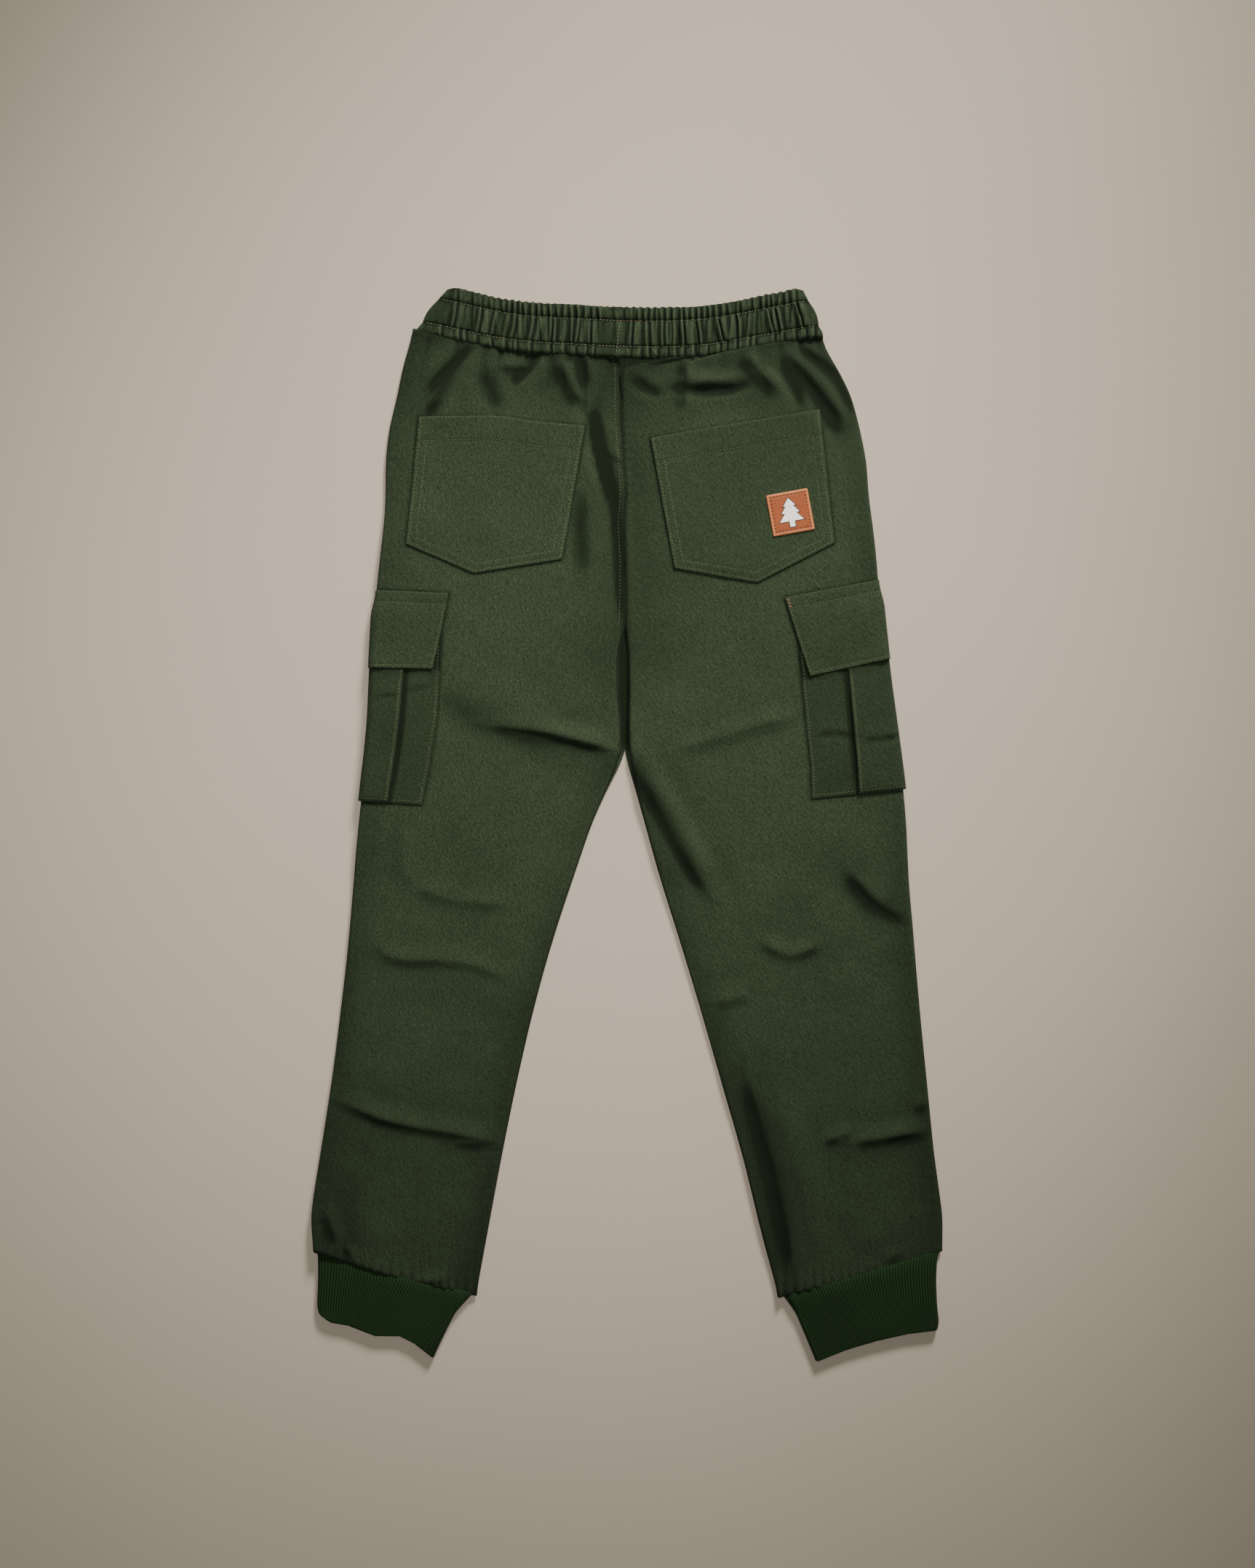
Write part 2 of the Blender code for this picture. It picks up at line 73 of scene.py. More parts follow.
# Unevenness of the back cloth: (height, size in rows, size in columns, seed's number)
BACK_NOISE = ((1.1, 16, 13, 10), (0.45, 5, 4, 20), (0.14, 2.2, 1.6, 21))
HEM_BLOUSE = 1.3  # how far the legs swell over their cuffs
SLIT_TOP = 190  # Y above which the centre back seam lies level
SLIT_OPEN = 162  # and under which it stands open
SLIT_DARK = {"left": 2.0, "right": 1.5}  # how far the open seam's painted shade reaches into each side
# Share of that reach at each Y
SLIT_SHAPE = ((66, 0.4), (95, 0.8), (125, 1.0), (165, 0.9), (185, 0.3), (192, -1.0), (500, -1.0))
SLIT_FLOOR = 12  # how far the painted shade reaches on the front cloth, seen down in the open seam
TURNED_IN = 5.6  # from the centre seam to its row of stitches
CLOTH = 0.9  # wall of the leg panels
LEG_HEIGHT = 5.9  # both layers of a leg with the air between them
STACK = 4.2  # how much the cargo pocket halves under a leg raise its side edge
WRAP_BAND = (-14, 268)  # Y between which it stays raised
WRAP_FADE = 46  # how far past them it comes down
WRAP_INNER = 80  # distance from the middle where the rise begins
WRAP_SPAN = 60  # width over which it rises
BOX_MARGIN = 3.0  # how far inside a CAD panel's ends its outline is read

CREASE_DEPTH = 0.85  # scale of all the heights below
STEEP_SHARE = 0.6  # scale of their steep flanks
CREASE_LINE = 1.5  # width of the painted shade line at a crease's foot

# Creases of the back: height, width of the soft flank and of the steep one, and points (x, y).
# The steep flank is on the right of the way the points run, and a dip follows it.
CREASES = (
    (2.6, 13, 4.5, ((-139, 97), (-85, 91), (-43, 80), (-5, 71))),
    (0.8, 10, 6, ((-212, -54), (-175, -71), (-141, -75), (-108, -76))),
    (1.1, 12, 5.5, ((-248, -104), (-231, -131), (-176, -129), (-133, -137), (-100, -157))),
    (0.6, 13, 8, ((-212, 0), (-213, -28), (-210, -58))),
    (1.8, 13, 4.5, ((-291, -261), (-272, -265), (-244, -283), (-211, -290), (-176, -295), (-116, -307))),
    (1.1, 6, 4, ((-170, -305), (-150, -307), (-135, -306))),
    (1.2, 8, 5, ((-289, -370), (-284, -384), (-277, -406))),
    (0.9, 6, 4, ((-270, -404), (-266, -411), (-262, -422))),
    (0.9, 7, 4, ((-202, -441), (-188, -439), (-174, -437))),
    (0.9, 10, 7, ((42, 72), (90, 86), (139, 101), (170, 107))),
    (2.2, 14, 6.5, ((5, 64), (22, 34), (44, -6), (66, -44), (84, -70))),
    (1.3, 9, 5, ((126, -107), (140, -120), (158, -127), (192, -113))),
    (1.8, 11, 5.5, ((212, -42), (242, -75), (274, -92))),
    (0.9, 9, 6, ((82, -171), (98, -168), (117, -162))),
    (1.9, 11, 6.5, ((117, -235), (126, -271), (139, -315), (148, -348), (158, -399), (165, -440))),
    (1.2, 8, 5, ((185, -305), (200, -301), (217, -295))),
    (2.0, 11, 5, ((214, -306), (244, -302), (293, -294))),
    (0.8, 8, 5, ((274, -269), (283, -270), (292, -269))),
    (0.9, 7, 5, ((246, -421), (256, -416), (266, -410))),
    (2.4, 9, 6, ((-141, 459), (-162, 438), (-198, 403))),
    (1.5, 7, 5, ((-124, 443), (-107, 442), (-89, 441))),
    (2.0, 7, 6, ((-77, 452), (-88, 438), (-111, 415))),
    (2.0, 5, 7, ((-62, 451), (-56, 429), (-40, 403))),
    (1.6, 6, 6, ((-36, 452), (-37, 420), (-35, 388))),
    (-1.4, 11, 9, ((-35, 441), (-33, 362), (-17, 314), (-17, 191))),
    (0.7, 5, 3, ((-17, 360), (-8, 352), (-2, 346))),
    (-0.9, 9, 9, ((10, 421), (18, 423), (27, 421))),
    (2.6, 10, 6, ((52, 424), (80, 426), (110, 425))),
    (1.4, 6, 6, ((60, 451), (59, 425), (57, 394))),
    (2.0, 6, 8, ((113, 457), (130, 437), (154, 413))),
    (2.8, 8, 7, ((151, 463), (174, 437), (197, 407), (214, 388))),
    (2.4, 7, 6, ((166, 468), (180, 455), (209, 436))),
)

VALLEY_DEPTH = 1.8  # of a valley with a strength of 1
RIDGE_RISE = 1.1  # how far the cloth rises on both sides of it

# Broad valleys of the seat and the legs, dented and darkened with painted shade: (strength, width, points)
VALLEYS = (
    (0.45, 7, ((-160, 450), (-180, 415), (-197, 385))),
    (0.30, 8, ((-138, 440), (-130, 415), (-122, 398))),
    (0.60, 5, ((-47, 452), (-43, 436), (-40, 420))),
    (0.75, 7, ((-36, 405), (-28, 370), (-20, 340), (-14, 310))),
    (0.60, 5, ((-13, 330), (-9, 280), (-6, 225), (-5, 190))),
    (0.35, 11, ((-40, 330), (-45, 290), (-40, 235))),
    (0.60, 4.5, ((5, 430), (18, 419), (34, 415))),
    (0.65, 4.5, ((40, 422), (70, 418), (105, 421), (120, 428))),
    (0.50, 5, ((148, 446), (163, 418), (172, 395))),
    (0.50, 8, ((176, 428), (192, 400), (206, 372))),
    (0.55, 5, ((178, 457), (203, 427), (221, 388))),
    (0.55, 7, ((3, 66), (20, 36), (43, -4), (66, -45), (80, -72))),
    (0.40, 16, ((-285, -60), (-290, -150), (-298, -250))),
    (0.35, 14, ((205, -40), (235, -75), (275, -90))),
    (0.35, 14, ((120, -230), (132, -290), (152, -360), (165, -425))),
    (0.30, 16, ((-190, 130), (-150, 105), (-60, 72))),
    (0.15, 18, ((-262, -330), (-270, -390), (-268, -425))),
)

# Creases of the hidden front, plain ones of the same kind
FRONT_CREASES = (
    (1.6, 13, 6, ((-120, 70), (-70, 78), (-20, 70))),
    (1.4, 12, 6, ((25, 62), (80, 84), (140, 86))),
    (1.7, 12, 6, ((-250, -120), (-190, -138), (-120, -132))),
    (1.6, 12, 6, ((110, -122), (180, -140), (255, -118))),
    (1.5, 12, 6, ((-280, -286), (-210, -300), (-140, -292))),
    (1.5, 12, 6, ((130, -300), (210, -312), (280, -290))),
    (1.0, 8, 5, ((-120, 440), (-135, 410), (-150, 380))),
    (1.0, 8, 5, ((110, 440), (120, 410), (140, 385))),
)

# Short gathers of the seat under the waist seam: (x, strength)
SEAT_GATHERS = (
    (-195, 0.9), (-168, 0.6), (-143, 0.9), (-127, 1.0), (-109, 0.8), (-100, 0.9), (-80, 0.6), (-63, 1.3),
    (-39, 0.9), (-22, 0.4), (14, 0.4), (36, 0.5), (59, 0.9), (82, 0.9), (100, 0.6), (119, 0.9), (140, 0.6),
    (160, 1.2), (178, 1.1),
)
GATHER_MIDDLE = -8  # X from which they fan out
GATHER_FAN = 0.0012  # by how much of their X from there for each millimetre down

# ---- Cargo pockets and flaps, which wrap a side edge: the same rows as the solids have

#           (share, side_y, edge_x, edge_y, pleat)
POCKET_ROWS = {
    "left": (
        (0.00, 192, -178, 190, 33), (0.22, 154, -180, 152, 31), (0.50, 103, -183, 103, 29),
        (0.78, 56, -191, 52, 27), (1.00, 23, -198, 19, 26),
    ),
    "right": (
        (0.00, 196, 163, 190, 36), (0.22, 160, 167, 151, 37), (0.50, 112, 172, 102, 39),
        (0.78, 64, 177, 55, 41), (1.00, 34, 178, 25, 43),
    ),
}
FLAP_ROWS = {
    "left": ((0.0, 225, -172, 222), (0.5, 188, -179, 186), (1.0, 151, -187, 150)),
    "right": ((0.0, 235, 152, 218), (0.5, 197, 164, 180), (1.0, 159, 176, 143)),
}
CARGO_ROWS = 96  # rows of points down a cargo pocket
CARGO_DEPTH = 168  # from a pocket's mouth to its bottom
FLAP_DEPTH = 74
FLAP_COUNT = 50  # rows of points down a flap
FLAP_ACROSS = 52  # columns of points on a flap's half
FLAP_PLEAT_REACH = {"left": 30, "right": 36}  # how far in from the side edge a pleat lifts its flap
TRIM_CLOTH = 0.75  # wall of the flaps and the back pockets
CARGO_CLOTH = 0.6  # wall of the cargo pockets, whose pleats lie close
BODY_LEVEL = 1.1  # height of a pocket's outer face over the panel
PLEAT_LEVEL = 2.95  # and of the pleat's and the flap's
FLAP_LEVEL = 3.95
# Section of the box pleat's fold, from the pocket's body to the pleat's top: (distance, height)
PLEAT_FOLD = (
    (2.5, 1.1), (0.6, 1.15), (-1.5, 1.2), (-3.6, 1.25), (-4.3, 1.3), (-4.4, 1.38), (-4.3, 1.45), (-3.6, 1.48),
    (-2.0, 1.5), (-0.5, 1.5), (0.0, 1.58), (0.28, 1.85), (0.36, 2.2), (0.28, 2.6), (0.0, 2.85), (-0.5, 2.95),
    (-2.0, 3.0), (-4.5, 2.98),
)
BODY_COLUMNS = 30  # columns of points on each half of a pocket's body
TOP_COLUMNS = 16  # columns of points on each half of a pleat's top
FOLD_TOP_COLUMN = BODY_COLUMNS + len(PLEAT_FOLD) - 2  # the column along the pleat's sewn edge
# How far the pleat's fold stands open: (share of the pocket's height, gap)
PLEAT_GAPE = {
    "left": ((0.0, 0.0), (0.25, 0.0), (0.4, 1.4), (0.6, 2.2), (0.85, 1.5), (1.0, 0.0)),
    "right": ((0.0, 0.0), (0.3, 0.0), (0.42, 1.2), (0.55, 2.4), (0.8, 1.1), (1.0, 0.0)),
}

# Soft creases across the cargo pockets: (height, width, points)
POCKET_CREASES = {
    "left": (
        (0.7, 8, ((-246, 124), (-232, 127), (-216, 128))),
        (0.6, 7, ((-216, 131), (-204, 134), (-188, 137))),
    ),
    "right": (
        (0.9, 9, ((181, 90), (200, 91), (221, 88))),
        (1.0, 9, ((224, 84), (244, 86), (266, 89))),
    ),
}

GAP_WIDTH = 2.6  # how far the painted shade of a gap reaches from a pocket's edge

# How far the cloth of the pockets is darkened towards the dark of the twill, from 0 to 1
CARGO_SHADE = 0.36
FLAP_SHADE = 0.16
PATCH_SHADE = {"left": 0.05, "right": 0.14}

# ---- Back pockets: the top edge, then the bottom edge with its point in the middle: (x, y)

BACK_POCKET = {
    "left": (
        ((-200, 392), (-123, 393), (-86, 387), (-41, 384)),
        ((-212, 270), (-147, 242), (-63, 256)),
    ),
    "right": (
        ((23, 372), (77, 381), (131, 390), (185, 399)),
        ((46, 247), (125, 233), (199, 271)),
    ),
}
POCKET_HEM = 23
PATCH_COUNTS = (108, 89)  # columns and rows of points
SEWN_EDGE = 2.2  # from a back pocket's edge to its outer row of stitches
SEWN_TURN = 9.0  # and to its inner row, where the turned-in cloth ends

# ---- Waistband

BAND_TOP_ENDS = (-174, 170)  # X of the ends of its top and its lower edge
BAND_LOW_ENDS = (-204, 189)
BAND_WIDTH = 390  # the widest row, which sets the number of columns
BAND_HEIGHT = 8.4
BAND_WALL = 2.2
BAND_CELL = {"back": 0.62, "front": 0.95}
BAND_ROWS = {"back": 55, "front": 36}
BAND_UNDER = 3.0  # how far the panels go in under the waistband
BAND_LEAN = -62  # direction of its twill lines
BAND_BULGE = 2.5  # how far its ends swell between the rows of stitches
STITCH_SHARES = (0.27, 0.78)  # the two rows of stitches, as shares of the band's depth
# Pleats between the two rows of stitches: (x at the upper row, x at the lower row, strength)
PLEATS = (
    (-165, -169, 0.8), (-141, -145, 1.2), (-126, -131, 0.7), (-108, -112, 1.0), (-90, -94.5, 1.3),
    (-69.5, -71, 1.2), (-53, -54, 1.0), (-47, -50, 1.0), (-36, -37, 1.0), (4, 2, 1.1), (19, 19, 0.5),
    (34, 34, 0.6), (45, 45, 0.5), (52, 54, 1.2), (68, 71, 1.0), (86, 91.5, 1.2), (106.5, 108, 1.2),
    (134, 140, 0.7), (144, 149, 1.2), (161, 168, 1.2),
)
# Gathers above the upper row: (from x, to x, pitch, strength)
TOP_GATHERS = (
    (-165, -120, 13.0, 0.7), (-118, -28, 6.0, 1.3), (-14, 14, 13.0, 0.6), (14, 92, 6.4, 1.2),
    (94, 128, 11.0, 0.9), (128, 162, 5.6, 1.3),
)
# Softer pleats between the named ones of the middle channel: (from x, to x, pitch)
SOFT_PLEATS = ((-160, -30, 9.0), (2, 165, 9.5))
# Gathers under the lower row: x
LOW_GATHERS = (
    -180, -163, -157, -147, -133, -119, -108, -94, -76, -62, -52, -40, -33, 12, 19, 28, 37, 45, 53, 63, 76,
    88, 94, 104, 116, 122, 140, 149, 160, 170, 179,
)
# The front half's pleats and gathers, which are plain and even
FRONT_PLEATS = [(at, at + 2, 0.8) for at in range(-160, 165, 22)]
FRONT_TOP_GATHERS = ((-160, 160, 9.0, 0.8),)
FRONT_LOW_GATHERS = range(-175, 180, 13)
BAND_JOIN = -11  # X of the stitched join in the band

# ---- Cuffs: the side edges at each share of the depth

#           (share, outer_x, outer_y, inner_x, inner_y)
CUFF_ROWS = {
    "left": (
        (0.00, -300, -412, -147, -455), (0.08, -298, -421, -151, -458), (0.38, -298, -441, -166, -473),
        (0.72, -299, -464, -177, -493), (0.90, -297, -474, -184, -508), (1.00, -286, -479, -187, -515),
    ),
    "right": (
        (0.00, 303, -412, 148, -456), (0.08, 299, -421, 152, -460), (0.38, 298, -442, 163, -474),
        (0.72, 299, -465, 173, -496), (0.90, 301, -480, 180, -513), (1.00, 299, -488, 182, -518),
    ),
}
CUFF_HEIGHT = 7.4
CUFF_DEPTH = 60
CUFF_WALL = 2.0
CUFF_CELL = 0.65  # across the ribs
CUFF_DOWN = 33  # rows of points down a cuff
CUFF_UNDER = 2.0  # how far a cuff goes in under its leg's hem
# How far a cuff's lower edge rises off the straight line: (share of its width, rise)
CUFF_WAVES = {
    "left": ((0.0, 0), (0.22, 4), (0.45, 2), (0.68, 10), (0.82, 8), (1.0, 0)),
    "right": ((0.0, 0), (0.25, 4), (0.5, 5), (0.75, 4), (1.0, 0)),
}
CUFF_SPREAD = 0.17  # how far to the side a cuff goes for each step down
RIB_PITCH = 2.6
RIB_HEIGHT = 0.5

# ---- Badge

BADGE_SIDE = 40
BADGE_CELL = 0.6
BADGE_WALL = 1.4
BADGE_CORNER = 1.6
BADGE_HOLES = 11  # holes along each side
HOLE_INSET = 3.0
HOLE_SIZE = 0.62
# A plain pine tree, as half an outline from the top down, in shares of its height: (x, y)
TREE = (
    (0.0, 0.5), (0.21, 0.235), (0.125, 0.235), (0.31, -0.015), (0.19, -0.015), (0.42, -0.30), (0.09, -0.30),
    (0.09, -0.5), (0.0, -0.5),
)
TREE_HEIGHT = 28
TREE_OUTLINE = 0.8  # width of the dark line round it

# ---- Stitches

STITCH_PITCH = 3.3
STITCH_HALF = (1.2, 0.26, 0.22)  # half its length, width and height
STITCH_TILT = math.radians(8)  # off the line of the seam
STITCH_RINGS = np.radians((-55, 0, 55))  # places of its rings of points along it
STITCH_SIDES = 5
STITCH_LIFT = 0.12
BAND_STITCH_LIFT = 0.3
PLEAT_SEWN = {"left": 43, "right": 50}  # where the pleat's stitches come out from under the flap
CENTRE_SEAM_SEWN = 262
TAN_STRETCH = (-11, 17)  # the waistband's stretch of tan stitches
TACK_SHIFTS = (-0.8, -0.3, 0.2, 0.7)  # places of the bar tack's rows across it
TACK_PITCH = 2.6

# Loose ends of thread and lint: points (x, y, height over the cloth), then the radius
TAIL_SIDES = 6
TAILS = {
    "flap_thread_end": (
        ((185.5, 227.5, 0.2), (183.5, 230.0, 1.2), (181.5, 232.0, 1.5), (180.5, 234.5, 0.5)), 0.28,
    ),
    "pocket_thread_end": (
        ((264.0, 28.5, 0.1), (265.3, 26.0, 0.9), (265.2, 23.0, 0.7), (267.0, 20.0, 0.3)), 0.2,
    ),
    "waist_thread_end": (
        ((24.5, 460.0, 0.2), (25.0, 457.0, 1.2), (27.0, 454.5, 1.2), (29.0, 451.5, 0.6)), 0.22,
    ),
    "seat_lint": (((-37.5, 356.0, 0.3), (-36.0, 354.5, 0.7), (-35.5, 352.0, 0.4)), 0.2),
    "leg_lint": (((-200.5, 227.0, 0.3), (-199.0, 226.0, 0.7), (-197.0, 226.8, 0.3)), 0.2),
}

# ---- Colours, linear

# The twill's light and dark yarn, the dark one also the colour of its painted shade, then the colour of its
# worn fading and painted highlights
TWILL_LIGHT = (0.058, 0.086, 0.044)
TWILL_DARK = (0.004, 0.008, 0.0025)
TWILL_WORN_AND_HIGHLIGHT = (0.105, 0.135, 0.070)
# Rib knit: the tone of its raised ribs, then its valleys, whose near black is partly painted shade
RIB_LIGHT = (0.0150, 0.0400, 0.0115)
RIB_DARK = (0.0004, 0.0022, 0.0003)
THREAD_PALE = (0.128, 0.134, 0.066)
THREAD_BAND = (0.270, 0.260, 0.160)
THREAD_TAN = (0.300, 0.160, 0.080)
LEATHER_FACE = (0.255, 0.056, 0.010)
LEATHER_EDGE = (0.480, 0.160, 0.055)
BADGE_PAINT = (0.94, 0.93, 0.88)
BADGE_LINE = (0.060, 0.020, 0.010)
FLOOR_TONE = (0.49, 0.42, 0.335)

TWILL_PITCH = 0.0013  # from one diagonal to the next, in metres
YARN_PITCH = 0.0009
TWILL_LEAN = {"left": -74, "right": -54}  # direction of the twill lines, in degrees from X
LEAN_OFFSET = {"cargo_pocket": 3, "cargo_flap": 12, "back_pocket": -3}  # how each kind lies on its leg

# ---- Seeds of the random fields: the left piece's, and one more for the right piece's

SEEDS = {
    "back_panel": 11, "front_panel": 51, "cargo_pocket": 71, "cargo_flap": 81, "back_pocket": 91, "cuff": 111,
}
BAND_SEEDS = {"back": 101, "front": 103}
BAND_EDGE_SEED = 107

# ---- The floor, light and camera: all in metres

FLOOR_HALF = 9.0
FLOOR_LEVEL = -0.0004
#          (name, place, target, radius, cone in degrees, power, tone)
LIGHTS = (
    ("key_light", (0.9, 3.0, 1.55), (-0.05, 0.05, 0.0), 0.4, 40, 880, (1.0, 0.97, 0.92)),
    ("pool_light", (-0.1, 0.12, 2.5), (-0.08, 0.12, 0.0), 0.3, 44, 175, (1.0, 0.97, 0.93)),
)
SKY_TONE = (0.95, 0.97, 1.0, 1)
SKY_STRENGTH = 0.11
CAMERA_PLACE = (0.0004, 0.0389, 1.908)  # the camera looks straight down
CAMERA_LENS = 45.32
CAMERA_SENSOR = 36.0


# ---- Small helpers


def soft_step(value, start, end):
    """0 at `start`, 1 at `end` and smooth between them."""
    part = np.clip((value - start) / (end - start), 0, 1)
    return part * part * (3 - 2 * part)


def bell(away, width):
    return np.exp(-((away / width) ** 2))


def turned(distance, reach):
    """Share of its full height that the cloth has at a distance from a rounded edge."""
    part = np.clip(1 - distance / reach, 0, 1)
    return np.sqrt(1 - part * part)


def blur(field, sigma, axis):
    """Gaussian blur along one axis, in cells, with the ends held."""
    reach = int(3 * sigma) + 1
    kernel = np.exp(-0.5 * (np.arange(-reach, reach + 1) / sigma) ** 2)
    kernel /= kernel.sum()
    moved = np.moveaxis(np.asarray(field, float), axis, -1)
    padded = np.pad(moved, [(0, 0)] * (moved.ndim - 1) + [(reach, reach)], mode="edge")
    out = np.zeros_like(moved)
    for place, weight in enumerate(kernel):
        out += weight * padded[..., place : place + moved.shape[-1]]
    return np.moveaxis(out, -1, axis)


def blurred(field, rows, columns):
    return blur(blur(field, rows, 0), columns, 1)


def noise(shape, rows, columns, seed):
    """A smooth random field with a spread of 1 and bumps of the given size in cells."""
    field = blurred(np.random.default_rng(seed).standard_normal(shape), rows, columns)
    return field / field.std()


def ripples(along, away, pitch, reach, seed):
    """Small ripples that cross a seam and fade away from it, from -1 to 1."""
    draw = np.random.default_rng(seed)
    sway = 0
    for _ in range(4):
        sway = sway + draw.uniform(0.3, 1.1) * np.sin(along / draw.uniform(9, 45) + draw.uniform(0, TURN))
    strength = 0.6 + 0.4 * np.sin(along / draw.uniform(20, 40) + draw.uniform(0, TURN))
    return np.sin(TURN * along / pitch + sway) * strength * np.exp(-away / reach)


def smooth_line(points, count):
    """Points on a smooth curve through a few given ones."""
    points = np.array(points, float)
    steps = np.linalg.norm(np.diff(points, axis=0), axis=1)
    at = np.concatenate([[0], np.cumsum(steps)])
    even = np.linspace(0, at[-1], count)
    line = np.stack([np.interp(even, at, axis) for axis in points.T], axis=1)
    soft = blur(line, count / 12, 0)
    soft[0], soft[-1] = line[0], line[-1]
    return soft


def seed_of(kind, side):
    return SEEDS[kind] + (side == "right")


def columns(table, at):
    """Every value column of a table at the given places of its first column."""
    table = np.array(table, float)
    return [np.interp(at, table[:, 0], values) for values in table[:, 1:].T]


# ---- Reading the frame


def node_mesh(name):
    """Points in millimetres, edges and polygons of a CAD node."""
    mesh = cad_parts[name].data
    points = np.empty(len(mesh.vertices) * 3)
    mesh.vertices.foreach_get("co", points)
    edges = np.empty(len(mesh.edges) * 2, int)
    mesh.edges.foreach_get("vertices", edges)
    polygons = [tuple(polygon.vertices) for polygon in mesh.polygons]
    return points.reshape(-1, 3) / MM, edges.reshape(-1, 2), polygons


def extremes(name, axis, places, direction):
    """At each place along X (axis 0) or Y (axis 1), the node's furthest point to one side.

    Returns its other coordinate and its height, one row for each place.
    """
    points, edges, _ = node_mesh(name)
    start, end = points[edges[:, 0]], points[edges[:, 1]]
    found = []
    for place in places:
        meets = (start[:, axis] - place) * (end[:, axis] - place) <= 0
        low, high = start[meets], end[meets]
        span = high[:, axis] - low[:, axis]
        part = np.where(np.abs(span) < 1e-9, 0, (place - low[:, axis]) / np.where(span == 0, 1, span))
        cut = low + (high - low) * part[:, None]
        best = np.argmax(direction * cut[:, 1 - axis])
        found.append((cut[best, 1 - axis], cut[best, 2]))
    return np.array(found)


def tree_of_node(name):
    points, _, polygons = node_mesh(name)
    return BVHTree.FromPolygons(points.tolist(), polygons)


def cells_of(rows, across):
    """Four corner numbers of every cell of a grid."""
    index = np.arange(rows * across).reshape(rows, across)
    return np.stack([index[:-1, :-1], index[:-1, 1:], index[1:, 1:], index[1:, :-1]], axis=-1).reshape(-1, 4)


def tree_of_grids(*grids):
    points, faces, count = [], [], 0
    for grid in grids:
        points.append(grid.reshape(-1, 3))
        faces.append(cells_of(*grid.shape[:2]) + count)
        count += grid.shape[0] * grid.shape[1]
    return BVHTree.FromPolygons(np.concatenate(points).tolist(), np.concatenate(faces).tolist())


def heights(tree, x, y, down=True):
    """Height of a tree's faces over (or under) each place, NaN where there are none."""
    start, way = (500.0, Vector((0, 0, -1))) if down else (-500.0, Vector((0, 0, 1)))
    found = np.full(x.size, np.nan)
    for place, (at_x, at_y) in enumerate(zip(x.ravel(), y.ravel())):
        hit = tree.ray_cast(Vector((at_x, at_y, start)), way)[0]
        if hit:
            found[place] = hit.z
    return found.reshape(x.shape)


def filled(field):
    """A field with its NaN values taken from the nearest good ones in the same row."""
    out = field.copy()
    for row in out:
        good = np.flatnonzero(~np.isnan(row))
        if len(good):
            row[:] = np.interp(np.arange(len(row)), good, row[good])
    good_rows = np.flatnonzero(~np.isnan(out[:, 0]))
    for row in range(len(out)):
        if np.isnan(out[row, 0]):
            out[row] = out[good_rows[np.argmin(abs(good_rows - row))]]
    return out


# ---- Shells


def normals_of(grid, tube=False):
    """Unit normals of a grid's points, up where the rows run down and the columns to the right."""
    if tube:
        wide = np.concatenate([grid[:, -3:-1], grid, grid[:, 1:3]], axis=1)
        return normals_of(wide)[:, 2:-2]
    normal = np.cross(np.gradient(grid, axis=1), np.gradient(grid, axis=0))
    length = np.linalg.norm(normal, axis=2, keepdims=True)
    return -normal / np.maximum(length, 1e-9)


def ring_of(rows, across, tube):
    """Numbers of a grid's border points in order, as one closed loop or as the two of a tube."""
    index = np.arange(rows * across).reshape(rows, across)
    if tube:
        return [index[0, ::-1], index[-1, :]]
    return [np.concatenate([index[0, ::-1], index[1:, 0], index[-1, 1:], index[-2:0:-1, -1]])]


def outward_of(grid, tube):
    """For each border point, the unit direction away from the cloth, as a full grid."""
    way = np.zeros_like(grid)
    way[0] += grid[0] - grid[1]
    way[-1] += grid[-1] - grid[-2]
    if not tube:
        way[:, 0] += grid[:, 0] - grid[:, 1]
        way[:, -1] += grid[:, -1] - grid[:, -2]
    length = np.linalg.norm(way, axis=2, keepdims=True)
    return way / np.maximum(length, 1e-9)


